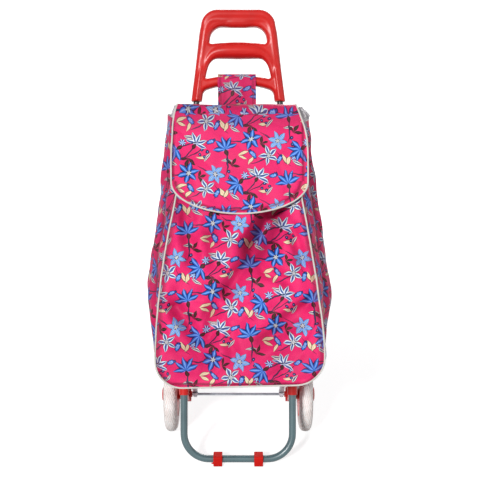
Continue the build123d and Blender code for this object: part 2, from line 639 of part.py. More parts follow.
def flap_piping():
    """Piping round the flap's free edge."""
    depth = FLAP_STANDOFF + FLAP_T / 2
    edge = flap_edge(PIPING_D / 2 + SOFT_GAP)
    edge[0] = (edge[0][0] + 2.5, FLAP_TOP_Z - FLAP_RIDGE_R - 4)
    edge = both_sides(edge)
    return pipe(Spline(*[(x, -front_w(z) - depth, z) for x, z in edge]), PIPING_D / 2)


def closure_patch(near):
    """Hook-and-loop patch parallel to the bag's front, a distance in front of it."""
    width, height, thickness = PATCH
    half = height / 2 / cos(radians(FRONT_TILT))
    band = block((-width / 2, width / 2), (-BIG, 0), (PATCH_Z - half, PATCH_Z + half))
    return band & front_slab(near, near + thickness)


# ---- fasteners ------------------------------------------------------------------------------------


def screw(seat, inwards, length):
    """Pan-head screw: its head stands out from the seat, its shank goes inwards."""
    seat, inwards = Vector(*seat), Vector(*inwards)
    return (rod(seat, seat - inwards * SCREW_HEAD_H, SCREW_HEAD_R)
            + rod(seat, seat + inwards * length, SCREW_R))


def bracket_screws():
    """Screws through the sleeves into the uprights."""
    seat = LEG_HALF + SLEEVE_D / 2
    return [screw((s * seat, 0, BRACKET_SCREW_Z), (-s, 0, 0), 9) for s in SIDES.values()]


def handle_screws():
    """Screws from behind through the rails into the inner tubes."""
    seat = HANDLE_DEPTH / 2 - SCREW_HEAD_H
    x = upright_x(HANDLE_SCREW_Z)
    return [screw((s * x, seat, HANDLE_SCREW_Z), (0, -1, 0), 8) for s in SIDES.values()]


def tube_rivets():
    """Rivets that hold the inner tubes in the uprights."""
    x = upright_x(RIVET_Z)
    return [screw((s * x, TUBE_R, RIVET_Z), (0, -1, 0), 4) for s in SIDES.values()]


# ---- build ----------------------------------------------------------------------------------------

os.makedirs("parts", exist_ok=True)
save("frame_tube", frame_tube())
save("handle", handle())
save("cross_tube", cross_tube())
save("support_shelf", support_shelf())
save("axle_rod", rod((-AXLE_HALF, AXLE_SETBACK, AXLE_RISE), (AXLE_HALF, AXLE_SETBACK, AXLE_RISE),
                     AXLE_D / 2))
save("axle_washers", *[washer(BOSS_X[1] + HUB_GAP, WASHER_R, WASHER_T, side)
                       for side in SIDES.values()])
save("axle_push_nuts", *[washer(HUB_X[1] + HUB_GAP, WASHER_R - 1, WASHER_T, side)
                         for side in SIDES.values()])
for name, side in SIDES.items():
    save(f"handle_tube_{name}", inner_tube(side))
    save(f"axle_bracket_{name}", axle_bracket(side))
    save(f"foot_pad_{name}", foot_pad(side))
    save(f"rim_{name}", rim(side))
    save(f"tyre_{name}", tyre(side))
    save(f"hub_cap_{name}", hub_cap(side))
    save(f"axle_tab_{name}", axle_tab(side))
for name, panel in bag_panels().items():
    save(name, panel)
save("base_board", base_board())
save("bag_collar", bag_collar())
save("bag_piping", bag_piping())
save("hang_strap", hang_strap())
save("flap_panel", flap_panel())
save("flap_piping", flap_piping())
save("closure_loop_patch", closure_patch(PATCH_GAP))
save("closure_hook_patch", closure_patch(FLAP_STANDOFF - PATCH[2] - PATCH_GAP))
save("bracket_screws", *bracket_screws())
save("handle_screws", *handle_screws())
save("tube_rivets", *tube_rivets())
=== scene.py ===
"""Looks of a two-wheeled shopping trolley with a printed cloth bag, built round its fixed frame."""

import json
import logging
import math
from dataclasses import dataclass, field
from enum import Enum
from typing import Callable, Optional, Sequence

import bpy
import numpy as np
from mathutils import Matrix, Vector, noise


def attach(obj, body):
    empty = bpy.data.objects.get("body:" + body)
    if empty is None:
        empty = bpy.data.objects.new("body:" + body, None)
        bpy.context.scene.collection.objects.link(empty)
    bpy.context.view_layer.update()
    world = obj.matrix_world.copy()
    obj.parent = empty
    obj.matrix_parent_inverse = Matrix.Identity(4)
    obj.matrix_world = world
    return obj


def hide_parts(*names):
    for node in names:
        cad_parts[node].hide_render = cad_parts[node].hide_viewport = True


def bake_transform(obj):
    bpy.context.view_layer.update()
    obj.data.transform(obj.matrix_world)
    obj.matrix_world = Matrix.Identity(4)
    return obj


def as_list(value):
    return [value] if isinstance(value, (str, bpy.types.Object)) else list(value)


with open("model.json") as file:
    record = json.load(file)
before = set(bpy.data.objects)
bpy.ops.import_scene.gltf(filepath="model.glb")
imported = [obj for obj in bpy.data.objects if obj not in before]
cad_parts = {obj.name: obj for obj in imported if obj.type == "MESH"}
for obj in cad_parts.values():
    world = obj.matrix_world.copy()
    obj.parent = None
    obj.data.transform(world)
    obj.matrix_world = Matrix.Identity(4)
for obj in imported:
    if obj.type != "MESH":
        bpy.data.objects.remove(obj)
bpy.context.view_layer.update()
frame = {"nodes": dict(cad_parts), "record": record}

logging.basicConfig(level=logging.INFO, format="%(message)s")
log = logging.getLogger("trolley")

MM = 0.001
Array, Piece, Material = np.ndarray, bpy.types.Object, bpy.types.Material
Tree, Socket = bpy.types.NodeTree, bpy.types.NodeSocket
Shape = Callable[[Array, Array], Array]


class Side(Enum):
    """The two sides of the trolley, as the sign of X."""

    LEFT = -1
    RIGHT = 1

    @property
    def label(self) -> str:
        """Name used at the end of node and body names."""
        return self.name.lower()


# ---- small tools ------------------------------------------------------------------------------


def linear(hex_colour: str) -> tuple[float, float, float, float]:
    """Turns an sRGB hex colour into linear light.

    Args:
        hex_colour: Six hex digits with a leading hash.

    Returns:
        Red, green, blue and an alpha of 1.
    """
    parts = [int(hex_colour[i:i + 2], 16) / 255 for i in (1, 3, 5)]
    lit = [c / 12.92 if c <= 0.04045 else ((c + 0.055) / 1.055) ** 2.4 for c in parts]
    return lit[0], lit[1], lit[2], 1.0


def add(tree: Tree, kind: str, inputs: Optional[dict] = None, **settings) -> bpy.types.Node:
    """Adds one shader node with its settings and links.

    Args:
        tree: Node tree that receives it.
        kind: Node type, without the leading ShaderNode.
        inputs: Values, nodes or output sockets, by the input's name or index.
        settings: Properties of the node; stops are a ramp's places, colours and opacities.

    Returns:
        The new node.
    """
    node = tree.nodes.new("ShaderNode" + kind)
    stops = settings.pop("stops", ())
    for n, (place, colour, opacity) in enumerate(stops):
        ramp = node.color_ramp.elements
        stop = ramp[0] if n == 0 else ramp[-1] if n == len(stops) - 1 else ramp.new(place)
        stop.position = place
        stop.color = (*linear(colour)[:3], opacity)
    for name, value in settings.items():
        setattr(node, name, value)
    fill(node, inputs or {})
    return node


def fill(node: bpy.types.Node, inputs: dict) -> None:
    """Sets or links a node's inputs.

    Args:
        node: The node whose inputs are given.
        inputs: Values, nodes or output sockets, by the input's name or index.
    """
    for key, value in inputs.items():
        socket = node.inputs[key] if isinstance(key, int) else next(
            s for s in node.inputs if s.name == key and s.enabled)
        if isinstance(value, bpy.types.Node):
            value = next(s for s in value.outputs if s.enabled)
        if isinstance(value, Socket):
            node.id_data.links.new(value, socket)
        else:
            socket.default_value = value


def smooth(at: Array, knots: Sequence[float], values: Sequence[float]) -> Array:
    """Cubic curve through some values.

    Args:
        at: Places at which the curve is wanted.
        knots: Increasing places of the values.
        values: The values themselves.

    Returns:
        The curve's values.
    """
    x, y = np.asarray(knots, float), np.asarray(values, float)
    slope = np.gradient(y, x)
    i = np.clip(np.searchsorted(x, at) - 1, 0, len(x) - 2)
    step = x[i + 1] - x[i]
    t = np.clip((at - x[i]) / step, 0, 1)
    return ((1 + 2 * t) * (1 - t) ** 2 * y[i] + t * (1 - t) ** 2 * step * slope[i]
            + t * t * (3 - 2 * t) * y[i + 1] + t * t * (t - 1) * step * slope[i + 1])


def smooth_ring(u: Array, values: Sequence[float]) -> Array:
    """Closed smooth curve through evenly spaced values, at shares from 0 to 1."""
    count = len(values)
    around = [values[n % count] for n in range(-2, count + 3)]
    return smooth(np.asarray(u), [n / count for n in range(-2, count + 3)], around)


def ease(at: Array, start: float, end: float) -> Array:
    """Goes smoothly from 0 at start to 1 at end."""
    t = np.clip((at - start) / (end - start), 0, 1)
    return t * t * (3 - 2 * t)


def ripple(points: Array, size: float, seed: float) -> Array:
    """Smooth unevenness, from about -1 to 1, at points in mm.

    Args:
        points: An array of N points of two or three numbers.
        size: Width of a bump.
        seed: Shifts the pattern.

    Returns:
        N values.
    """
    flat = np.zeros((len(points), 3))
    flat[:, :points.shape[1]] = points / size
    flat += seed * 17.3
    return np.array([noise.noise(Vector(p)) for p in flat]) * 1.8


def solo(piece: Piece) -> None:
    """Selects one piece alone and makes it the active one."""
    bpy.ops.object.select_all(action="DESELECT")
    piece.select_set(True)
    bpy.context.view_layer.objects.active = piece


def apply_modifiers(piece: Piece) -> None:
    """Applies all of a piece's modifiers, in order."""
    solo(piece)
    for name in [m.name for m in piece.modifiers]:
        bpy.ops.object.modifier_apply(modifier=name)


def settle(piece: Piece) -> None:
    """Puts a piece's place into its mesh, so that its object sits at the origin."""
    solo(piece)
    bpy.ops.object.transform_apply(location=True, rotation=True, scale=True)


def weld(piece: Piece, distance: float = 1e-5) -> None:
    """Merges a piece's doubled vertices and points its faces outwards."""
    solo(piece)
    bpy.ops.object.mode_set(mode="EDIT")
    bpy.ops.mesh.select_all(action="SELECT")
    bpy.ops.mesh.remove_doubles(threshold=distance)
    bpy.ops.mesh.normals_make_consistent(inside=False)
    bpy.ops.object.mode_set(mode="OBJECT")


def join(pieces: Sequence[Piece], name: str) -> Piece:
    """Joins pieces into the first of them and names it."""
    bpy.ops.object.select_all(action="DESELECT")
    for piece in pieces:
        piece.select_set(True)
    bpy.context.view_layer.objects.active = pieces[0]
    if len(pieces) > 1:
        bpy.ops.object.join()
    pieces[0].name = pieces[0].data.name = name
    return pieces[0]


def twin(node: Piece) -> Piece:
    """Copies one of the frame's pieces as a welded mesh of its own."""
    copy = node.copy()
    copy.data = node.data.copy()
    copy.parent = None
    for key in list(copy.keys()):
        del copy[key]
    bpy.context.scene.collection.objects.link(copy)
    weld(copy, 1e-6)
    return copy


def melt(pieces: Sequence[Piece], name: str, voxel: float, rounds: int) -> Piece:
    """Melts pieces into one moulding with rounded edges.

    Args:
        pieces: Closed meshes that meet or overlap.
        name: Name of the moulding.
        voxel: Size in mm of its faces.
        rounds: How often it is smoothed.

    Returns:
        The moulding, without a material.
    """
    moulding = join(pieces, name)
    remesh = moulding.modifiers.new("melt", "REMESH")
    remesh.mode, remesh.voxel_size = "VOXEL", voxel * MM
    soften = moulding.modifiers.new("soften", "SMOOTH")
    soften.factor, soften.iterations = 0.6, rounds
    apply_modifiers(moulding)
    moulding.data.materials.clear()
    shade_smooth(moulding, 80)
    return moulding


def shade_smooth(piece: Piece, angle: float = 60.0) -> None:
    """Smooth shading up to an angle in degrees between faces."""
    solo(piece)
    bpy.ops.object.shade_smooth_by_angle(angle=math.radians(angle))


def thicken(sheet: Piece, thickness: float, offset: float, angle: float, lined: bool = False) -> None:
    """Gives an open sheet its thickness and smooth shading.

    Args:
        sheet: The sheet, with its finishes.
        thickness: Thickness in mm.
        offset: -1 to grow inwards, 0 to grow to both sides.
        angle: Greatest angle in degrees that is shaded smooth.
        lined: True if the inside takes the sheet's second finish.
    """
    wall = sheet.modifiers.new("wall", "SOLIDIFY")
    wall.thickness, wall.offset = thickness * MM, offset
    wall.material_offset = int(lined)
    apply_modifiers(sheet)
    shade_smooth(sheet, angle)


def hand_over(piece: Piece, body: str, slot: str, *replaced: str) -> None:
    """Args:
        piece: The finished piece.
        body: The body that it rides.
        slot: Slot of its finish; not used.
        replaced: The frame's pieces that it stands for, if any.
    """
    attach(piece, body)
    if replaced:
        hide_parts(*replaced)


@dataclass(frozen=True)
class Stance:
    """The frame's own plane: X to the right, Y back from the uprights and Z up along them, in mm."""

    lean: float = math.radians(20)
    pad_drop: float = 12.5
    foot_y: float = 0.0

    def place(self, points: Array) -> Array:
        """Turns points in the frame's plane, in mm, into the row's frame, in metres."""
        x, y, z = np.asarray(points, float).reshape(-1, 3).T
        c, s = math.cos(self.lean), math.sin(self.lean)
        return np.stack([x, y * c + z * s + self.foot_y, z * c - y * s + self.pad_drop], 1) * MM

    def point(self, x: float, y: float, z: float) -> Vector:
        """One point in the row's frame."""
        return Vector(self.place(np.array([[x, y, z]]))[0])


@dataclass
class Maker:
    """Makes meshes in the frame's plane and puts them in place."""

    stance: Stance
    stitch: float = 3.6
    thread_radius: float = 0.34

    def sheet(self, name: str, across: int, along: int, shape: Shape, cloth: Optional[Shape] = None,
              mark: Optional[Shape] = None) -> Piece:
        """Makes a rectangular grid and lays it on a surface.

        Args:
            name: Name of the new piece.
            across: Faces in the first direction.
            along: Faces in the second direction.
            shape: Gives N points in mm for N pairs of shares from 0 to 1.
            cloth: Gives N pairs in mm on the flat cloth, for the UV map.
            mark: Gives N strengths by which the surface is darkened there, kept as the attribute 'seam':
                painted shade on the cloth, the depth of the grooves on the tyre.

        Returns:
            The new piece.
        """
        bpy.ops.object.select_all(action="DESELECT")
        bpy.ops.mesh.primitive_grid_add(x_subdivisions=across, y_subdivisions=along, size=2)
        piece = bpy.context.active_object
        piece.name = piece.data.name = name
        mesh = piece.data
        flat = np.empty(len(mesh.vertices) * 3)
        mesh.vertices.foreach_get("co", flat)
        share = (flat.reshape(-1, 3)[:, :2] + 1) / 2
        if cloth is not None:
            corners = np.empty(len(mesh.loops), int)
            mesh.loops.foreach_get("vertex_index", corners)
            on_cloth = cloth(share[:, 0], share[:, 1]) * MM
            mesh.uv_layers[0].name = "cloth"
            mesh.uv_layers[0].data.foreach_set("uv", on_cloth[corners].astype(np.float32).ravel())
        if mark is not None:
            # 'seam' holds painted shade for the cloth and groove depth for the tyre
            strength = mesh.attributes.new("seam", "FLOAT", "POINT")
            strength.data.foreach_set("value", mark(share[:, 0], share[:, 1]).astype(np.float32))
        placed = self.stance.place(shape(share[:, 0], share[:, 1]))
        mesh.vertices.foreach_set("co", placed.astype(np.float32).ravel())
        mesh.update()
        return piece

    def tube(self, name: str, route: Array, radius: float, closed: bool = False,
             radii: Optional[Sequence[float]] = None, sides: int = 4) -> Piece:
        """Makes a round bar along a smooth route.

        Args:
            name: Name of the new piece.
            route: Points in the frame's plane, in mm.
            radius: Radius in mm.
            closed: True if the route's end meets its start.
            radii: Thickness at each point as a share of the radius.
            sides: Fineness of the section.

        Returns:
            The new piece, as a mesh.
        """
        bpy.ops.object.select_all(action="DESELECT")
        bpy.ops.curve.primitive_nurbs_path_add()
        piece = bpy.context.active_object
        curve = piece.data
        curve.splines.clear()
        spline = curve.splines.new("NURBS")
        spline.points.add(len(route) - 1)
        placed = self.stance.place(route)
        for n, (point, at) in enumerate(zip(spline.points, placed)):
            point.co = (*at, 1)
            point.radius = 1 if radii is None else radii[n]
        spline.order_u = 3
        spline.use_cyclic_u = closed
        spline.use_endpoint_u = not closed
        spline.resolution_u = 6
        curve.bevel_depth = radius * MM
        curve.bevel_resolution = sides
        curve.use_fill_caps = not closed
        bpy.ops.object.convert(target="MESH")
        piece = bpy.context.active_object
        piece.name = piece.data.name = name
        settle(piece)
        return piece

    def stitching(self, name: str, lines: Sequence[Array], thread: Material) -> Piece:
        """Sews lockstitch along lines on cloth that faces the front.

        Args:
            name: Name of the new piece.
            lines: Finely sampled lines on the cloth, in mm in the frame's plane.
            thread: Finish of the thread.

        Returns:
            The new piece.
        """
        rows = []
        for line in lines:
            gone = np.concatenate([[0], np.cumsum(np.linalg.norm(np.diff(line, axis=0), axis=1))])
            count = int(gone[-1] / self.stitch)
            at = (np.arange(count)[:, None] + np.array([0.0, 0.2, 0.5, 0.8])).ravel() * self.stitch
            route = np.stack([np.interp(at, gone, line[:, k]) for k in range(3)], 1)
            route[:, 1] -= np.tile([-0.7, 0.35, 0.5, 0.35], count)
            rows.append(self.tube(name, route, self.thread_radius, sides=1))
        piece = join(rows, name)
        piece.data.materials.append(thread)
        shade_smooth(piece)
        return piece


# ---- finishes ---------------------------------------------------------------------------------


@dataclass(frozen=True)
class Finish:
    """One procedural material, named for the real one."""

    title: str = "finish"

    def dress(self, tree: Tree, surface: bpy.types.Node) -> None:
        """Sets the surface shader and adds the nodes that feed it.

        Args:
            tree: The material's node tree.
            surface: Its Principled shader.
        """
        raise NotImplementedError

    def make(self) -> Material:
        """Makes the material."""
        material = bpy.data.materials.new(self.title)
        material.use_nodes = True
        self.dress(material.node_tree, material.node_tree.nodes["Principled BSDF"])
        return material


def set_shader(surface: bpy.types.Node, **sockets) -> None:
    """Sets or links the shader's own sockets, spaces in their names written as underscores."""
    fill(surface, {name.replace("_", " "): value for name, value in sockets.items()})


@dataclass(frozen=True)
class PowderCoat(Finish):
    """Polyester powder coat on steel tube: a satin skin with a slight orange peel."""

    title: str = "powder_coated_steel"
    colour: str = "#506a6f"
    shade: str = "#42595e"
    dust: str = "#8fa5aa"
    peel: float = 2.2           # mm between the peel's bumps
    roughness: float = 0.34
    coat: float = 0.25

    def dress(self, tree: Tree, surface: bpy.types.Node) -> None:
        """Uneven grey-blue with fine specks of dust and an orange-peel bump."""
        where = add(tree, "TexCoord").outputs["Object"]
        cloud = add(tree, "TexNoise", {"Vector": where, "Scale": 28.0, "Detail": 4.0})
        tone = add(tree, "ValToRGB", {"Fac": cloud}, stops=[(0.3, self.shade, 1), (1, self.colour, 1)])
        speck = add(tree, "TexNoise", {"Vector": where, "Scale": 700.0, "Detail": 2.0})
        dust = add(tree, "MapRange", {"Value": speck, "From Min": 0.66, "From Max": 0.76, "To Max": 0.35})
        tint = add(tree, "Mix", {"Factor": dust, "A": tone.outputs[0], "B": linear(self.dust)},
                   data_type="RGBA")
        peel = add(tree, "TexNoise", {"Vector": where, "Scale": 1000 / self.peel, "Detail": 1.0})
        bump = add(tree, "Bump", {"Height": peel, "Strength": 0.12, "Distance": 0.0003})
        rough = add(tree, "MapRange", {"Value": cloud, "To Min": self.roughness - 0.05,
                                       "To Max": self.roughness + 0.08})
        set_shader(surface, Base_Color=tint, Normal=bump, Roughness=rough, IOR=1.5, Coat_Weight=self.coat,
                   Coat_Roughness=0.18)


@dataclass(frozen=True)
class MouldedPlastic(Finish):
    """Injection-moulded polypropylene: glossy, with a soft depth and faint flow marks."""

    title: str = "moulded_polypropylene"
    colour: str = "#c61a15"
    deep: str = "#a5100d"
    grain: float = 1.6          # mm between the faint marks of the mould
    roughness: float = 0.3
    gloss: float = 0.34

    def dress(self, tree: Tree, surface: bpy.types.Node) -> None:
        """Red with slow flow marks, fine mould grain and a few rubbed places."""
        where = add(tree, "TexCoord").outputs["Object"]
        flow = add(tree, "TexNoise", {"Vector": where, "Scale": 16.0, "Detail": 3.0, "Distortion": 0.8})
        tone = add(tree, "ValToRGB", {"Fac": flow}, stops=[(0, self.deep, 1), (0.62, self.colour, 1)])
        grain = add(tree, "TexNoise", {"Vector": where, "Scale": 1000 / self.grain, "Detail": 2.0})
        rub = add(tree, "TexNoise", {"Vector": where, "Scale": 60.0, "Detail": 5.0, "Roughness": 0.7})
        rough = add(tree, "MapRange", {"Value": rub, "From Min": 0.45, "From Max": 0.75,
                                       "To Min": self.roughness, "To Max": self.roughness + 0.16})
        bump = add(tree, "Bump", {"Height": grain, "Strength": 0.04, "Distance": 0.0003})
        set_shader(surface, Base_Color=tone, Roughness=rough, Normal=bump, IOR=1.49,
                   Specular_IOR_Level=self.gloss)


@dataclass(frozen=True)
class ZincPlate(Finish):
    """Zinc-plated steel wire and rod: a dull grey metal with drawn streaks."""

    title: str = "zinc_plated_steel"
    colour: str = "#a9adb3"
    dull: str = "#7d8188"
    roughness: float = 0.36

    def dress(self, tree: Tree, surface: bpy.types.Node) -> None:
        """Grey metal, a little cloudy, with streaks along X from the drawing die."""
        where = add(tree, "TexCoord").outputs["Object"]
        along = add(tree, "Mapping", {"Vector": where, "Scale": (0.05, 1.0, 1.0)})
        streak = add(tree, "TexNoise", {"Vector": along, "Scale": 900.0, "Detail": 2.0})
        cloud = add(tree, "TexNoise", {"Vector": where, "Scale": 90.0, "Detail": 4.0})
        tone = add(tree, "ValToRGB", {"Fac": cloud}, stops=[(0, self.dull, 1), (1, self.colour, 1)])
        rough = add(tree, "MapRange", {"Value": streak, "To Min": self.roughness - 0.1,
                                       "To Max": self.roughness + 0.12})
        bump = add(tree, "Bump", {"Height": streak, "Strength": 0.15, "Distance": 0.0001})
        set_shader(surface, Base_Color=tone, Roughness=rough, Normal=bump, Metallic=1.0)


@dataclass(frozen=True)
class FoamRubber(Finish):
    """Moulded EVA foam tyre: matt off-white, fine pores, a little greyer in the tread's grooves."""

    title: str = "moulded_eva_foam"
    colour: str = "#f1ecea"
    grey_tone: str = "#d3c8c3"
    pore: float = 1.4           # mm, coarser than the real cells so that they show

    def dress(self, tree: Tree, surface: bpy.types.Node) -> None:
        """Off-white with greyish clouds and small round pores."""
        where = add(tree, "TexCoord").outputs["Object"]
        cloud = add(tree, "TexNoise", {"Vector": where, "Scale": 45.0, "Detail": 5.0, "Roughness": 0.6})
        groove = add(tree, "Attribute", attribute_name="seam")
        # greyer where the tread's grooves are deep, more so in the clouds
        groove_grey = add(tree, "Math", {0: groove.outputs["Fac"], 1: cloud.outputs[0]}, operation="MULTIPLY")
        both = add(tree, "Math", {0: groove_grey, 1: 0.9, 2: cloud.outputs[0]}, operation="MULTIPLY_ADD")
        tone = add(tree, "ValToRGB", {"Fac": both}, stops=[(0.35, self.colour, 1), (1, self.grey_tone, 1)])
        pores = add(tree, "TexVoronoi", {"Vector": where, "Scale": 1000 / self.pore})
        bump = add(tree, "Bump", {"Height": pores.outputs[0], "Strength": 0.25, "Distance": 0.0004})
        set_shader(surface, Base_Color=tone, Normal=bump, Roughness=0.8, IOR=1.45,
                   Specular_IOR_Level=0.3, Subsurface_Weight=0.45,
                   Subsurface_Radius=(1.0, 0.85, 0.8), Subsurface_Scale=0.008)


@dataclass(frozen=True)
class CoatedLining(Finish):
    """Thin polyester with a silvery polyurethane coat: soft sheen, fine plain weave, creases."""

    title: str = "silver_coated_polyester"
    colour: str = "#cdc7ca"
    shade: str = "#8f8a91"
    thread: float = 1.1         # mm, about three times the real spacing so that it shows

    def dress(self, tree: Tree, surface: bpy.types.Node) -> None:
        """Grey with cloudy wear of the coat, crossed threads and crumple lines."""
        cloth = add(tree, "UVMap", uv_map="cloth").outputs[0]
        where = add(tree, "TexCoord").outputs["Object"]
        worn = add(tree, "TexNoise", {"Vector": where, "Scale": 120.0, "Detail": 5.0, "Roughness": 0.6})
        tone = add(tree, "ValToRGB", {"Fac": worn}, stops=[(0.3, self.shade, 1), (0.66, self.colour, 1)])
        weave = add(tree, "TexChecker", {"Vector": cloth, "Scale": 1000 / self.thread})
        crumple = add(tree, "TexVoronoi", {"Vector": where, "Scale": 95.0}, feature="DISTANCE_TO_EDGE")
        ridge = add(tree, "MapRange", {"Value": crumple.outputs[0], "From Max": 0.12})
        fine = add(tree, "Bump", {"Height": weave.outputs[1], "Strength": 0.2, "Distance": 0.0002})
        bump = add(tree, "Bump", {"Height": ridge, "Strength": 0.6, "Distance": 0.0018, "Normal": fine})
        set_shader(surface, Base_Color=tone, Normal=bump, Roughness=0.46, Metallic=0.15, Sheen_Weight=0.15)


@dataclass(frozen=True)
class PipingTape(Finish):
    """Bias tape wrapped round a cord: off-white satin with slanting threads."""

    title: str = "woven_bias_tape"
    colour: str = "#cbc8c1"
    shade: str = "#a3a099"
    thread: float = 1.5         # mm between the slanting threads, drawn coarse so that they show

    def dress(self, tree: Tree, surface: bpy.types.Node) -> None:
        """Off-white with slanting threads and slightly soiled patches."""
        where = add(tree, "TexCoord").outputs["Object"]
        twill = add(tree, "TexWave", {"Vector": where, "Scale": 1000 / self.thread / 20, "Distortion": 1.5,
                                      "Detail": 1.0}, bands_direction="DIAGONAL")
        cloud = add(tree, "TexNoise", {"Vector": where, "Scale": 55.0, "Detail": 5.0})
        tone = add(tree, "ValToRGB", {"Fac": cloud}, stops=[(0, self.shade, 1), (0.55, self.colour, 1)])
        bump = add(tree, "Bump", {"Height": twill, "Strength": 0.3, "Distance": 0.0003})
        set_shader(surface, Base_Color=tone, Normal=bump, Roughness=0.55, Sheen_Weight=0.2)


@dataclass(frozen=True)
class FibreBoard(Finish):
    """Hard fibreboard that stiffens the bag's bottom: dark, matt, flecked with fibres."""

    title: str = "hard_fibreboard"
    colour: str = "#5a5048"
    deep: str = "#2b2724"

    def dress(self, tree: Tree, surface: bpy.types.Node) -> None:
        """Dark brown-grey with long flecks."""
        where = add(tree, "TexCoord").outputs["Object"]
        lengthened = add(tree, "Mapping", {"Vector": where, "Scale": (1.0, 4.0, 1.0)})
        fleck = add(tree, "TexNoise", {"Vector": lengthened, "Scale": 160.0, "Detail": 6.0})
        tone = add(tree, "ValToRGB", {"Fac": fleck}, stops=[(0, self.deep, 1), (1, self.colour, 1)])
        bump = add(tree, "Bump", {"Height": fleck, "Strength": 0.3, "Distance": 0.0003})
        set_shader(surface, Base_Color=tone, Normal=bump, Roughness=0.8)


@dataclass(frozen=True)
class HookTape(Finish):
    """Hook-and-loop tape in the cloth's colour: a dull pile on a woven band."""

    title: str = "nylon_hook_tape"
    colour: str = "#c21f52"
    deep: str = "#7c1236"
    pitch: float = 1.8          # mm between hooks

    def dress(self, tree: Tree, surface: bpy.types.Node) -> None:
        """Crimson with rows of small loops."""
        where = add(tree, "TexCoord").outputs["Object"]
        loops = add(tree, "TexVoronoi", {"Vector": where, "Scale": 1000 / self.pitch, "Randomness": 0.5})
        tone = add(tree, "ValToRGB", {"Fac": loops}, stops=[(0, self.colour, 1), (1, self.deep, 1)])
        bump = add(tree, "Bump", {"Height": loops.outputs[0], "Strength": 0.6, "Distance": 0.0006})
        set_shader(surface, Base_Color=tone, Normal=bump, Roughness=0.9, Sheen_Weight=0.3)


@dataclass(frozen=True)
class SewingThread(Finish):
    """Polyester sewing thread: two plies with a slight gloss."""

    title: str = "polyester_sewing_thread"
    colour: str = "#b01a4b"
    deep: str = "#7d1035"
    ply: float = 0.9            # mm a turn

    def dress(self, tree: Tree, surface: bpy.types.Node) -> None:
        """Deep pink with the slanting bands of the plies."""
        where = add(tree, "TexCoord").outputs["Object"]
        plies = add(tree, "TexWave", {"Vector": where, "Scale": 1000 / self.ply / 20},
                    bands_direction="DIAGONAL")
        tone = add(tree, "ValToRGB", {"Fac": plies.outputs[1]},
                   stops=[(0, self.deep, 1), (0.6, self.colour, 1)])
        bump = add(tree, "Bump", {"Height": plies.outputs[1], "Strength": 0.4, "Distance": 0.0002})
        set_shader(surface, Base_Color=tone, Normal=bump, Roughness=0.5, Sheen_Weight=0.2)


# ---- printed cloth ----------------------------------------------------------------------------


class Drawing(Enum):
    """Kinds of small drawing in the print."""

    BLOOM = "petals all round"
    FAN = "petals to one side"
    LEAF = "one bent leaf or stem"
    SPRIG = "three narrow leaves"
    BERRIES = "discs round a stalk"
    BUD = "ringed oval"


NAVY, BLUE, SKY, ICE, WHITE = "#171f48", "#2459bb", "#4b8ae6", "#a9cdf8", "#f6f8fb"
SLATE, BEIGE, SAND, BROWN, INK = "#5468a4", "#f2dcb9", "#ddb98e", "#4a2a24", "#141828"
TIP_GAP, TIP_ROOM = 0.003, 0.002    # shares of the reach that end the ink at a petal's tip


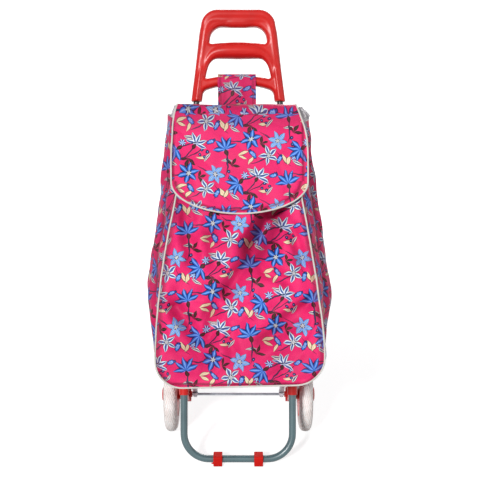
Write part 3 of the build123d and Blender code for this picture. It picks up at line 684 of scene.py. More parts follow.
@dataclass(frozen=True)
class Motif:
    """One small drawing that repeats over the cloth.

    The inks run from the middle of a petal, leaf, disc or oval to its outline.
    """

    drawing: Drawing
    at: tuple[float, float]     # mm across and up the repeat
    turn: float                 # degrees
    reach: float                # mm from its middle to its tips
    inks: tuple[str, ...]
    petals: int = 1
    width: float = 0.2          # half width of a petal, as a share of the reach
    bend: float = 0.0

    def draw(self, tree: Tree, place: Socket, repeat: tuple[float, float],
             ground: Socket) -> Socket:
        """Draws the motif over the colours so far.

        Args:
            tree: The cloth's node tree.
            place: Position on the cloth, in repeats.
            repeat: Width and height of the repeat in mm.
            ground: The colours so far.

        Returns:
            The colours with the motif drawn over them.
        """
        wide, high = repeat
        centre = (self.at[0] / wide, self.at[1] / high - self.at[0] / wide / 2, 0)
        away = add(tree, "VectorMath", {0: place, 1: centre}, operation="SUBTRACT")
        near = add(tree, "VectorMath", {0: away, 1: (0.5, 0.5, 0.5), 2: (-0.5, -0.5, -0.5)}, operation="WRAP")
        c, s = math.cos(math.radians(self.turn)) / self.reach, math.sin(math.radians(self.turn)) / self.reach
        x = add(tree, "VectorMath", {0: near, 1: (wide * c + high * s / 2, high * s, 0)},
                operation="DOT_PRODUCT").outputs["Value"]
        y = add(tree, "VectorMath", {0: near, 1: (-wide * s + high * c / 2, high * c, 0)},
                operation="DOT_PRODUCT").outputs["Value"]
        if self.bend:
            square = add(tree, "Math", {0: x, 1: x}, operation="MULTIPLY")
            y = add(tree, "Math", {0: square, 1: self.bend, 2: y}, operation="MULTIPLY_ADD").outputs[0]
        if self.drawing is Drawing.BUD:
            mark = self._oval(tree, x, y)
        else:
            mark = self._petals(tree, x, y)
        steps = len(self.inks)
        stops = [(n / steps, ink, 1) for n, ink in enumerate(self.inks)]
        last = [(0.94, self.inks[-1], 1), (0.999, self.inks[-1], 0)]
        ink = add(tree, "ValToRGB", {"Fac": mark}, stops=stops + last)
        cover = ink.outputs["Alpha"]
        if self.drawing in (Drawing.FAN, Drawing.SPRIG):
            ahead = add(tree, "MapRange", {"Value": x, "From Min": -0.14, "From Max": -0.08})
            cover = add(tree, "Math", {0: cover, 1: ahead}, operation="MULTIPLY").outputs[0]
        mixed = add(tree, "Mix", {"Factor": cover, "A": ground, "B": ink.outputs["Color"]}, data_type="RGBA")
        return mixed.outputs[2]

    def _oval(self, tree: Tree, x: Socket, y: Socket) -> Socket:
        """Gives 0 in the middle of a ringed oval and 1 at its edge."""
        tall = add(tree, "Math", {0: y, 1: self.width}, operation="DIVIDE")
        spot = add(tree, "CombineXYZ", {0: x, 1: tall})
        far = add(tree, "VectorMath", {0: spot}, operation="LENGTH").outputs["Value"]
        beads = add(tree, "Math", {0: add(tree, "Math", {0: x, 1: 13.0}, operation="MULTIPLY")},
                    operation="SINE")
        return add(tree, "Math", {0: beads, 1: 0.09, 2: far}, operation="MULTIPLY_ADD").outputs[0]

    def _petals(self, tree: Tree, x: Socket, y: Socket) -> Socket:
        """Gives 0 along the middle of each petal, leaf or disc and 1 at its edge."""
        angle = add(tree, "Math", {0: y, 1: x}, operation="ARCTAN2")
        fold = add(tree, "Math", {0: angle, 1: math.pi / self.petals}, operation="PINGPONG")
        if self.drawing is Drawing.SPRIG:
            fold = add(tree, "Math", {0: add(tree, "Math", {0: angle}, operation="ABSOLUTE"), 1: 0.62},
                       operation="PINGPONG")
        spot = add(tree, "CombineXYZ", {0: x, 1: y})
        far = add(tree, "VectorMath", {0: spot}, operation="LENGTH").outputs["Value"]
        along = add(tree, "Math", {0: far, 1: add(tree, "Math", {0: fold}, operation="COSINE")},
                    operation="MULTIPLY")
        aside = add(tree, "Math", {0: far, 1: add(tree, "Math", {0: fold}, operation="SINE"), 2: TIP_GAP},
                    operation="MULTIPLY_ADD")
        if self.drawing is Drawing.BERRIES:
            ahead = add(tree, "Math", {0: along, 1: 0.7}, operation="SUBTRACT")
            disc = add(tree, "VectorMath", {0: add(tree, "CombineXYZ", {0: ahead, 1: aside})},
                       operation="LENGTH").outputs["Value"]
            return add(tree, "Math", {0: disc, 1: self.width}, operation="DIVIDE").outputs[0]
        share = add(tree, "Math", {0: along, 1: math.pi}, operation="MULTIPLY")
        share = add(tree, "Clamp", {"Value": share, "Min": 0.0, "Max": math.pi})
        swell = add(tree, "Math", {0: share}, operation="SINE")
        room = add(tree, "Math", {0: swell, 1: self.width, 2: TIP_ROOM}, operation="MULTIPLY_ADD")
        return add(tree, "Math", {0: aside, 1: room}, operation="DIVIDE").outputs[0]


BLUE_PETALS = (ICE, SKY, SKY, BLUE, BLUE, NAVY, NAVY)
SKY_PETALS = (NAVY, ICE, ICE, SKY, SKY, ICE, NAVY)
PALE_PETALS = (NAVY, SLATE, SLATE, ICE, WHITE, WHITE, INK)
BEIGE_LEAF = (SAND, BEIGE, BEIGE, BEIGE, BROWN)
DARK_LEAF = (BROWN, BROWN, INK)
CREAM_LEAF = (NAVY, SLATE, BEIGE, WHITE, INK)
BERRY = (WHITE, BLUE, NAVY, NAVY)
BUD_INKS = (ICE, BLUE, ICE, SKY, BLUE, NAVY)
STEM = (SLATE, NAVY, INK)


def flower(drawing: Drawing, at: tuple[float, float], turn: float, reach: float, inks: tuple[str, ...],
           petals: int, width: float) -> list[Motif]:
    """A flower head with the stem that it stands on and a dark cup at its base.

    Args:
        drawing: BLOOM or FAN.
        at: Its middle, in mm within the repeat.
        turn: Direction in which it faces, in degrees.
        reach: Length of a petal in mm.
        inks: Colours of a petal from its middle line outwards.
        petals: Petals in a whole round.
        width: Half width of a petal as a share of its length.

    Returns:
        The motifs, from back to front.
    """
    stalk = Motif(Drawing.LEAF, at, turn + 180, reach * 2.1, STEM, width=0.03, bend=0.25)
    head = Motif(drawing, at, turn, reach, inks, petals, width)
    cup = Motif(Drawing.LEAF, at, turn + 180, reach * 0.55, DARK_LEAF, width=0.3)
    eye = Motif(Drawing.BLOOM, at, turn, reach * 0.28, (WHITE, NAVY), 6, 0.5)
    return [stalk, head, cup] if drawing is Drawing.FAN else [stalk, head, eye]


def print_motifs() -> list[Motif]:
    """The print's own arrangement of stems, leaves, berries and flowers, from back to front."""
    d = Drawing
    small = [
        Motif(d.LEAF, (58, 62), 20, 58, STEM, width=0.02, bend=-0.2),
        Motif(d.LEAF, (30, 46), 148, 44, STEM, width=0.024, bend=0.3),
        Motif(d.LEAF, (22, 54), 128, 21, BEIGE_LEAF, width=0.23, bend=0.15),
        Motif(d.LEAF, (20, 52), 62, 18, BEIGE_LEAF, width=0.25, bend=-0.15),
        Motif(d.LEAF, (46, 6), 35, 22, BEIGE_LEAF, width=0.2, bend=0.3),
        Motif(d.LEAF, (48, 6), -35, 17, BEIGE_LEAF, width=0.22, bend=-0.2),
        Motif(d.LEAF, (84, 66), -12, 21, BEIGE_LEAF, width=0.2, bend=-0.25),
        Motif(d.LEAF, (66, 116), 70, 19, BEIGE_LEAF, width=0.22, bend=0.2),
        Motif(d.LEAF, (50, 50), 160, 22, CREAM_LEAF, width=0.19, bend=0.1),
        Motif(d.LEAF, (62, 108), -20, 22, CREAM_LEAF, width=0.17, bend=-0.15),
        Motif(d.LEAF, (100, 58), 62, 20, CREAM_LEAF, width=0.18, bend=0.1),
        Motif(d.LEAF, (14, 122), 12, 21, CREAM_LEAF, width=0.18, bend=0.2),
        Motif(d.SPRIG, (70, 62), 250, 17, DARK_LEAF, width=0.2),
        Motif(d.SPRIG, (34, 114), 60, 17, DARK_LEAF, width=0.19),
        Motif(d.SPRIG, (90, 28), 15, 14, DARK_LEAF, width=0.2),
        Motif(d.BERRIES, (98, 74), 15, 10, BERRY, petals=4, width=0.32),
        Motif(d.BERRIES, (26, 96), 70, 10.5, BERRY, petals=3, width=0.32),
        Motif(d.BUD, (6, 62), 68, 11, BUD_INKS, width=0.46),
        Motif(d.BUD, (74, 8), 128, 11, BUD_INKS, width=0.44),
        Motif(d.BUD, (112, 96), 20, 10, BUD_INKS, width=0.46),
        Motif(d.BLOOM, (58, 94), 8, 8.5, (WHITE, ICE, BLUE, NAVY), petals=7, width=0.26),
        Motif(d.BLOOM, (34, 66), 8, 7.5, (WHITE, ICE, BLUE, NAVY), petals=7, width=0.26),
    ]
    return [
        *small,
        *flower(d.BLOOM, (104, 6), 40, 19, PALE_PETALS, 5, 0.26),
        *flower(d.FAN, (84, 92), 62, 22, PALE_PETALS, 8, 0.21),
        *flower(d.BLOOM, (3, 98), -12, 19, SKY_PETALS, 6, 0.27),
        *flower(d.FAN, (22, 18), 105, 25, BLUE_PETALS, 9, 0.2),
        *flower(d.BLOOM, (70, 36), 16, 21, BLUE_PETALS, 6, 0.27),
        *flower(d.FAN, (46, 80), 212, 25, BLUE_PETALS, 9, 0.2),
    ]


@dataclass(frozen=True)
class PrintedSatin(Finish):
    """Polyester satin with a flower print: smooth floats that catch the light, crossed by creases."""

    title: str = "printed_polyester_satin"
    colour: str = "#f12c72"
    shade: str = "#d41f5e"
    # deep crimson towards which painted shade darkens the cloth
    seam: str = "#5e0a28"
    repeat: tuple[float, float] = (118.0, 128.0)   # mm; each column drops by half the height
    waver: float = 1.3          # mm by which the drawn lines waver
    thread: float = 1.2         # mm, about four times the real spacing so that the weave shows
    roughness: float = 0.54
    motifs: tuple[Motif, ...] = field(default_factory=lambda: tuple(print_motifs()))

    def dress(self, tree: Tree, surface: bpy.types.Node) -> None:
        """Pink ground, the flower print, a twill bump, an uneven sheen and painted shade in the seams, folds
        and other marked places.
        """
        cloth = add(tree, "UVMap", uv_map="cloth").outputs[0]
        wide, high = self.repeat
        slow = add(tree, "TexNoise", {"Vector": cloth, "Scale": 55.0, "Detail": 1.5}).outputs["Color"]
        shift = add(tree, "VectorMath", {0: slow, 1: (0.5, 0.5, 0.5)}, operation="SUBTRACT")
        moved = add(tree, "VectorMath", {0: shift, 1: (self.waver * 6 * MM,) * 3, 2: cloth},
                    operation="MULTIPLY_ADD")
        u = add(tree, "VectorMath", {0: moved, 1: (1000 / wide, 0, 0)}, operation="DOT_PRODUCT")
        v = add(tree, "VectorMath", {0: moved, 1: (-500 / wide, 1000 / high, 0)}, operation="DOT_PRODUCT")
        place = add(tree, "CombineXYZ", {0: u.outputs["Value"], 1: v.outputs["Value"]}).outputs[0]
        cloud = add(tree, "TexNoise", {"Vector": cloth, "Scale": 40.0, "Detail": 5.0})
        ground = add(tree, "ValToRGB", {"Fac": cloud}, stops=[(0, self.shade, 1), (0.6, self.colour, 1)])
        colours = ground.outputs[0]
        for motif in self.motifs:
            colours = motif.draw(tree, place, self.repeat, colours)
        twill = add(tree, "TexWave", {"Vector": cloth, "Scale": 1000 / self.thread / 20, "Distortion": 0.6,
                                      "Detail": 1.0}, bands_direction="DIAGONAL")
        fine = add(tree, "TexNoise", {"Vector": cloth, "Scale": 650.0, "Detail": 3.0})
        height = add(tree, "Math", {0: twill.outputs[1], 1: fine.outputs[0]}, operation="ADD")
        bump = add(tree, "Bump", {"Height": height, "Strength": 0.15, "Distance": 0.0003})
        rough = add(tree, "MapRange", {"Value": cloud, "To Min": self.roughness - 0.06,
                                       "To Max": self.roughness + 0.1})
        yarn = add(tree, "ValToRGB", {"Fac": fine}, stops=[(0.35, "#e4e4e4", 1), (0.65, "#ffffff", 1)])
        woven = add(tree, "Mix", {"Factor": 1.0, "A": colours, "B": yarn.outputs[0]}, data_type="RGBA",
                    blend_type="MULTIPLY")
        # painted shade: the 'seam' attribute darkens the cloth at its seams, in fold valleys, towards the
        # front's foot, over the gussets and the strap and on the flap's turned top
        seam = add(tree, "Attribute", attribute_name="seam").outputs["Fac"]
        woven = add(tree, "Mix", {"Factor": seam, "A": woven, "B": linear(self.seam)},
                    data_type="RGBA")
        set_shader(surface, Base_Color=woven, Normal=bump, Roughness=rough, IOR=1.5,
                   Specular_IOR_Level=0.16, Sheen_Weight=0.02, Sheen_Roughness=0.35)


# ---- bag --------------------------------------------------------------------------------------


BAG_FOOT, BAG_HEIGHT = 180.0, 532.0     # mm along the uprights
REACH_AT_FOOT, REACH_LOST = 200.0, 49.0     # mm from the uprights to the front, and less at the top


def front_reach(z: Array) -> Array:
    """Distance in mm from the uprights to the flat of the bag's front, at a height."""
    return REACH_AT_FOOT - (z - BAG_FOOT) * REACH_LOST / BAG_HEIGHT


def patch_zone(x: Array, z: Array) -> Array:
    """1 over the closure patches, where cloth lies flat, and 0 away from them."""
    return (1 - ease(np.abs(x), 38, 56)) * ease(z, 512, 528) * (1 - ease(z, 552, 575))


def crease(x: Array, z: Array, start: tuple[float, float], end: tuple[float, float],
           width: float, depth: float) -> Array:
    """A fold line in cloth: sunk on one side of the line and raised on the other.

    Args:
        x: Places across, in mm.
        z: Places up, in mm.
        start: One end of the fold.
        end: Its other end.
        width: How far the fold spreads, in mm.
        depth: How deep it is, in mm.

    Returns:
        The offset outwards at each place.
    """
    run = np.array(end) - np.array(start)
    length = np.hypot(*run)
    along = ((x - start[0]) * run[0] + (z - start[1]) * run[1]) / length ** 2
    off = ((x - start[0]) * run[1] - (z - start[1]) * run[0]) / length
    fade = ease(along, -0.25, 0.2) * (1 - ease(along, 0.8, 1.25))
    s = off / width
    return depth * fade * (s - 0.45) * np.exp(-s * s) * 1.6


@dataclass
class Bag:
    """The sewn bag: front panel, one gusset round the sides and bottom, back panel and lining."""

    maker: Maker
    cloth: Material
    lining: Material
    trim: Material
    thread: Material
    bottom: float = BAG_FOOT
    mouth: float = 672.0
    back_mouth: float = 709.0
    back_reach: float = 11.8
    corner: float = 46.0
    straight_rows: int = 106
    corner_rows: int = 24
    columns: int = 96
    gusset_rows: int = 44
    thickness: float = 1.6
    cord_radius: float = 1.65
    heights: tuple[float, ...] = (180, 220, 275, 360, 440, 520, 600, 672)
    front_half: tuple[float, ...] = (153, 157, 155.5, 147, 135.5, 120.5, 107, 95)
    middle_heights: tuple[float, ...] = (180, 255, 300, 345, 400, 452, 522, 600, 690)
    middle_half: tuple[float, ...] = (158, 166, 174, 179, 174, 167, 158, 148, 138)
    back_half: tuple[float, ...] = (156, 160, 161, 160, 156, 151, 144, 136)
    lean_heights: tuple[float, ...] = (180, 272, 352, 440, 530, 672)
    lean_right: tuple[float, ...] = (3.5, 3.3, 1.4, 0.8, 1.2, 0.0)
    # each fold's two ends, across and up, then its width and depth
    folds: tuple[tuple, ...] = (
        ((56, 520), (12, 430), 30, 52.0), ((146, 350), (78, 306), 16, 17.0),
        ((14, 420), (-34, 352), 20, 19.0), ((-112, 505), (-92, 405), 17, 15.0),
        ((-50, 336), (-66, 258), 18, 16.0), ((92, 474), (120, 396), 16, 16.0),
        ((50, 256), (128, 290), 17, 16.0), ((-132, 330), (-80, 262), 17, 18.0),
        ((36, 392), (100, 366), 15, 11.0), ((-20, 300), (-18, 226), 16, 10.0),
        ((-60, 470), (-50, 400), 15, 9.0), ((-120, 240), (-40, 214), 18, 9.0))
    gusset_width: float = 185.0             # flat width of the strip
    gusset_shift: tuple[float, float] = (25.0, 83.0)    # where the print starts on the left and right side
    back_shift: tuple[float, float] = (31.0, 44.0)      # where the print starts on the back
    stitch_inset: float = 0.032             # share of the front's width outside the topstitching
    bottom_inset: float = 5.0               # mm from the bag's bottom up to the lowest topstitching
    collar_length: float = 690.0
    collar_height: float = 40.0
    collar_columns: int = 440
    collar_rows: int = 22
    lining_thickness: float = 0.5
    gathers: int = 38
    # the collar's lower and upper edge, from the middle of the front round by the right side
    collar_low_x: tuple[float, ...] = (0, 94, 133, 126, 0, -126, -132, -94)
    collar_low_w: tuple[float, ...] = (154, 153, 86, 17, 16, 17, 86, 153)
    collar_low_z: tuple[float, ...] = (668, 668, 682, 690, 690, 690, 684, 668)
    collar_high_x: tuple[float, ...] = (0, 99, 124, 112, 0, -112, -126, -99)
    collar_high_w: tuple[float, ...] = (141, 139, 88, 24, 20, 24, 88, 139)
    collar_high_z: tuple[float, ...] = (704, 706, 714, 707, 704, 705, 717, 704)
    collar_puff: tuple[float, ...] = (0, 3, 9, -3, 0, 0, 1, 0)

    @property
    def rows(self) -> int:
        """Rows of faces from the mouth to the bottom."""
        return self.straight_rows + self.corner_rows

    @property
    def straight(self) -> float:
        """Share of the way down at which the bottom's rounding starts."""
        return self.straight_rows / self.rows

    def turned(self, down: Array) -> Array:
        """Angle round the bottom's rounding, from 0 to a quarter turn, at shares of the way down."""
        return np.clip((down - self.straight) / (1 - self.straight), 0, 1) * math.pi / 2

    def skin(self, c: Array, down: Array, back: Array) -> Array:
        """The bag's outside before any folds.

        Args:
            c: From -1 at the left edge to 1 at the right.
            down: From 0 at the mouth to 1 at the bottom.
            back: From 0 at the front panel to 1 at the back panel.

        Returns:
            Points in the frame's plane, in mm.
        """
        straight = self.straight
        top = self.mouth + (self.back_mouth - self.mouth) * np.sin(back * math.pi / 2)
        turn_at = self.bottom + self.corner
        theta = self.turned(down)
        z = np.where(down <= straight, top + (turn_at - top) * down / straight,
                     turn_at - self.corner * np.sin(theta))
        front = smooth(z, self.heights, self.front_half)
        middle = smooth(z, self.middle_heights, self.middle_half)
        rear = smooth(z, self.heights, self.back_half)
        half = front + (rear - front) * back + (middle - (front + rear) / 2) * np.sin(math.pi * back)
        x = c * (half - self.corner * (1 - np.cos(theta)))
        near_front = 1 - ease(back, 0.3, 1)
        x = x + smooth(z, self.lean_heights, self.lean_right) * near_front
        z = z + (x / 150 * 3.6 + 0.6) * (1 - ease(z, 180, 300)) * near_front
        w = front_reach(z) * (1 - back) + self.back_reach * back
        return np.stack([x, -w, z], 1)

    def front_relief(self, x: Array, z: Array) -> Array:
        """Bulge, slack and folds of the front panel, outwards in mm."""
        spot = np.stack([x, z], 1)
        slant = np.stack([x * 0.8 + z * 0.6, (z * 0.8 - x * 0.6) * 0.38], 1)
        other = np.stack([x * 0.7 - z * 0.7, (z * 0.7 + x * 0.7) * 0.42], 1)
        slack = 1 - ease(z, 495, 560)
        relief = ripple(spot, 90, 1.0) * 7.5 + ripple(slant, 36, 2.0) * 4.4 + ripple(other, 27, 3.0) * 2.0
        relief += -5.5 * (1 - np.abs(ripple(slant, 60, 5.0))).clip(0) ** 5
        relief += -4.0 * (1 - np.abs(ripple(other, 52, 6.0))).clip(0) ** 5
        relief *= 0.35 + 0.65 * slack
        for start, end, width, depth in self.folds:
            relief += crease(x, z, start, end, width, depth)
        relief += 7.0 * slack * np.sin(np.clip((z - 180) / 340, 0, 1) * math.pi) ** 0.7
        room = 3.0 + 9.0 * (1 - ease(z, 440, 495))
        relief -= (relief - room).clip(0) * 0.92
        return relief * (1 - patch_zone(x, z))

    def front(self, u: Array, v: Array) -> Array:
        """Front panel, from share across and share up."""
        c, down = 2 * u - 1, 1 - v
        points = self.skin(c, down, np.zeros_like(c))
        x, z = points[:, 0], points[:, 2]
        held = ease(1 - np.abs(c), 0, 0.16) * ease(v, 0, 0.07) * ease(down, 0, 0.05)
        pucker = np.sin(z / 2.6 + 2 * np.sin(z / 23)) * 0.7 * ease(1 - np.abs(c), 0, 0.03)
        pucker *= 1 - ease(1 - np.abs(c), 0.03, 0.13)
        points[:, 1] -= self.front_relief(x, z) * held + pucker
        return points

    def front_painted_shade(self, u: Array, v: Array) -> Array:
        """Painted shade of the seam inside the piping, of the folds' valleys and of the front's foot."""
        points = self.skin(2 * u - 1, 1 - v, np.zeros_like(u))
        inside = np.minimum((1 - np.abs(2 * u - 1)) * 140, points[:, 2] - self.bottom)
        # painted shade: a line inside the piping, deepest in the folds' valleys, and darker towards the
        # front's foot along a wavy slanted line
        valley_shade = ease(-self.front_relief(points[:, 0], points[:, 2]), 2, 26)
        slanted = points[:, 2] + points[:, 0] * 0.12 + ripple(points[:, :1], 60, 21.0) * 9
        low = 1 - ease(slanted, 246, 290)
        seam = 0.8 * np.exp(-((inside - 4.2) / 2.4) ** 2)
        return seam + (0.36 * valley_shade + 0.13 * low) * ease(inside, 8, 20)

    def gusset_painted_shade(self, u: Array, v: Array) -> Array:
        """Painted shade of the gusset as a whole, and more of it in its seam and pressed pleats."""
        points = self.skin(*self.path(u), v)
        high = ease(points[:, 2], 250, 330)
        # painted shade: 0.3 over the whole gusset, more along its seam and in the pleats' valleys
        return (0.3 + 0.68 * np.exp(-((v - 0.03) / 0.014) ** 2)
                + high * (0.5 * np.exp(-((v - self.pleat(points, 0)) / 0.035) ** 2)
                          + 0.35 * np.exp(-((v - self.pleat(points, 1)) / 0.03) ** 2))).clip(0, 1)

    def pleat(self, points: Array, which: int) -> Array:
        """Share back of the first or second upright pleat in the gusset, at some points."""
        x, z = points[:, 0], points[:, 2]
        if which:
            return 0.66 + 0.04 * np.sin(z / 50 + 1)
        return 0.3 + 0.05 * np.sin(z / 70) - np.where(x < 0, 0.06, 0.0)

    def back(self, u: Array, v: Array) -> Array:
        """Back panel, from share across and share up; its folds only sink."""
        c, down = 1 - 2 * u, 1 - v
        points = self.skin(c, down, np.ones_like(c))
        spot = np.stack([points[:, 0], points[:, 2]], 1)
        held = ease(1 - np.abs(c), 0, 0.12) * ease(v, 0, 0.06) * ease(down, 0, 0.1)
        slant = np.stack([spot[:, 0] * 0.7 + spot[:, 1] * 0.7, (spot[:, 1] - spot[:, 0]) * 0.3], 1)
        sink = 2.2 + ripple(spot, 80, 7.0) * 1.8 + ripple(slant, 30, 8.0) * 1.4
        sink += 2.5 * (1 - np.abs(ripple(slant, 60, 9.0))).clip(0) ** 5
        points[:, 1] -= sink.clip(0) * held
        return points

    @property
    def path_rows(self) -> int:
        """Faces along the gusset's path, down one side, along the bottom and up the other."""
        return 2 * self.rows + self.columns

    def path(self, u: Array) -> tuple[Array, Array]:
        """Turns the share along the gusset's path into a place across and a place down."""
        k = u * self.path_rows
        left, right = k < self.rows, k > self.rows + self.columns
        c = np.where(left, -1.0, np.where(right, 1.0, (k - self.rows) / self.columns * 2 - 1))
        down = np.where(left, k / self.rows, np.where(right, (self.path_rows - k) / self.rows, 1.0))
        return c, down

    def gusset(self, u: Array, v: Array) -> Array:
        """Sides and bottom in one strip, from share along and share back."""
        c, down = self.path(u)
        points = self.skin(c, down, v)
        theta = self.turned(down)
        out_x = np.sign(c) * np.cos(theta) * (np.abs(c) > 0.999)
        out_z = -np.sin(theta)
        z = points[:, 2]
        deep = points[:, 1]
        shift = np.where(c < 0, 40.0, 0.0)
        spot = np.stack([deep, z, points[:, 0] * 0.4], 1)
        wall = np.cos(theta) * ease(down, 0.02, 0.12)
        upright = np.stack([deep + z * 0.12, z * 0.16 + shift], 1)
        pleat = v - self.pleat(points, 0)
        relief = ripple(upright, 15, 4.0) * 2.6 + ripple(spot, 38, 10.0) * 1.8
        relief += -8.0 * np.exp(-(pleat / 0.09) ** 2) * ease(z, 230, 320) * (1 - ease(z, 600, 690) * 0.6)
        second = v - self.pleat(points, 1)
        relief += -6.0 * np.exp(-(second / 0.08) ** 2) * ease(z, 300, 400)
        relief *= wall
        flat = ripple(spot, 45, 12.0).clip(-1, 0) * 2.0
        held = ease(v, 0, 0.12) * ease(1 - v, 0, 0.12)
        points[:, 0] += out_x * relief * held
        points[:, 2] += out_z * flat * held * np.sin(theta)
        return points

    def cloth_front(self, u: Array, v: Array) -> Array:
        """Place on the flat front panel, in mm."""
        points = self.skin(2 * u - 1, 1 - v, np.zeros_like(u))
        return points[:, [0, 2]]

    def cloth_back(self, u: Array, v: Array) -> Array:
        """Place on the flat back panel, in mm."""
        points = self.skin(1 - 2 * u, 1 - v, np.ones_like(u))
        return np.stack([self.back_shift[0] - points[:, 0], points[:, 2] + self.back_shift[1]], 1)

    def cloth_gusset(self, u: Array, v: Array) -> Array:
        """Place on the flat gusset strip, in mm."""
        c, down = self.path(u)
        points = self.skin(c, down, v)
        under = ease(down, 0.82, 1.0)
        across = np.where(c < 0, 1, -1) * (1 - v) * self.gusset_width + np.where(c < 0, *self.gusset_shift)
        along = points[:, 2] - under * 30 * np.abs(c)
        return np.stack([across, along + np.where(np.abs(c) < 0.999, points[:, 0], 0)], 1)

    def shell(self) -> Piece:
        """Sews the panels into one shell of cloth and lining."""
        make = self.maker.sheet
        panels = [
            make("bag_cloth", self.columns, self.rows, self.front, self.cloth_front, self.front_painted_shade),
            make("gusset", self.path_rows, self.gusset_rows, self.gusset, self.cloth_gusset,
                 self.gusset_painted_shade),
            make("rear", self.columns, self.rows, self.back, self.cloth_back),
        ]
        bag = join(panels, "bag_cloth")
        weld(bag, 2e-4)
        bag.data.materials.append(self.cloth)
        bag.data.materials.append(self.lining)
        thicken(bag, self.thickness, -1, 50, lined=True)
        hand_over(bag, "trolley", "printed_cloth", "bag_front", "bag_back", "bag_base", "bag_side_left",
                  "bag_side_right")
        return bag

    def edge_cord(self) -> Piece:
        """Piping sewn into the seam round the front panel's sides and bottom."""
        steps = np.linspace(0.004, 0.996, 131)
        c, down = self.path(steps)
        line = self.skin(c, down, np.zeros_like(c))
        theta = self.turned(down)
        line[:, 0] += np.where(np.abs(c) > 0.999, np.sign(c) * np.cos(theta), 0) * self.cord_radius * 0.5
        line[:, 2] -= np.sin(theta) * self.cord_radius * 0.5
        line[:, 1] -= self.cord_radius * 0.55
        line[:, 0] += ripple(np.stack([steps * self.path_rows * 4, steps * 0], 1), 30, 11.0) * 0.5
        cord = self.maker.tube("bag_edge_cord", line, self.cord_radius)
        cord.data.materials.append(self.trim)
        shade_smooth(cord)
        hand_over(cord, "trolley", "piping", "bag_piping")
        return cord

    def stitches(self) -> Piece:
        """Topstitching inside the piping of the front panel."""
        inset = self.stitch_inset
        turn = math.asin(1 - self.bottom_inset / self.corner) / (math.pi / 2)
        low = self.straight + (1 - self.straight) * turn
        fall, sweep = np.linspace(0.02, low, 150), np.linspace(inset, 1 - inset, 90)
        u = np.concatenate([fall * 0 + inset, sweep, fall * 0 + 1 - inset])
        down = np.concatenate([fall, sweep * 0 + low, fall[::-1]])
        rows = self.maker.stitching("bag_stitches", [self.front(u, 1 - down)], self.thread)
        hand_over(rows, "trolley", "printed_cloth")
        return rows

    def collar(self, u: Array, v: Array) -> Array:
        """Gathered lining above the mouth, from share round and share up."""
        low_x, low_w = smooth_ring(u, self.collar_low_x), smooth_ring(u, self.collar_low_w)
        high_x, high_w = smooth_ring(u, self.collar_high_x), smooth_ring(u, self.collar_high_w)
        z_low, z_high = smooth_ring(u, self.collar_low_z), smooth_ring(u, self.collar_high_z)
        puff = smooth_ring(u, self.collar_puff) * np.sin(math.pi * v)
        x, w = low_x + (high_x - low_x) * v + puff, low_w + (high_w - low_w) * v
        z = z_low + (z_high - z_low) * v
        around = np.stack([np.cos(u * 2 * math.pi) * 95, np.sin(u * 2 * math.pi) * 95, v * 22], 1)
        fold = np.sin(u * 2 * math.pi * self.gathers + 3.0 * ripple(around, 40, 13.0)) * 1.9
        fold += ripple(around, 9, 14.0) * 1.9 + ripple(around, 4.5, 16.0) * 1.5
        fold *= ease(v, 0, 0.35)
        centre = np.stack([x, w - 84], 1)
        length = np.hypot(centre[:, 0], centre[:, 1]) + 1e-6
        x = x + centre[:, 0] / length * fold
        w = w + centre[:, 1] / length * fold
        z = z + ripple(around, 14, 15.0) * 1.2 * v
        return np.stack([x, -w, z], 1)

    def lining_collar(self) -> Piece:
        """The collar as a piece of its own."""
        def cloth(u: Array, v: Array) -> Array:
            """Place on the flat strip, in mm."""
            return np.stack([u * self.collar_length, v * self.collar_height], 1)
        ring = self.maker.sheet("bag_lining_collar", self.collar_columns, self.collar_rows, self.collar,
                                cloth)
        weld(ring, 2e-5)
        ring.data.materials.append(self.lining)
        thicken(ring, self.lining_thickness, -1, 70)
        hand_over(ring, "trolley", "lining", "bag_collar")
        return ring

    def build(self) -> None:
        """Makes the bag's pieces."""
        pieces = [self.shell(), self.edge_cord(), self.lining_collar(), self.stitches()]
        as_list(pieces[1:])
        for piece in pieces:
            log.info("bag: %s", piece.name)


# ---- flap -------------------------------------------------------------------------------------


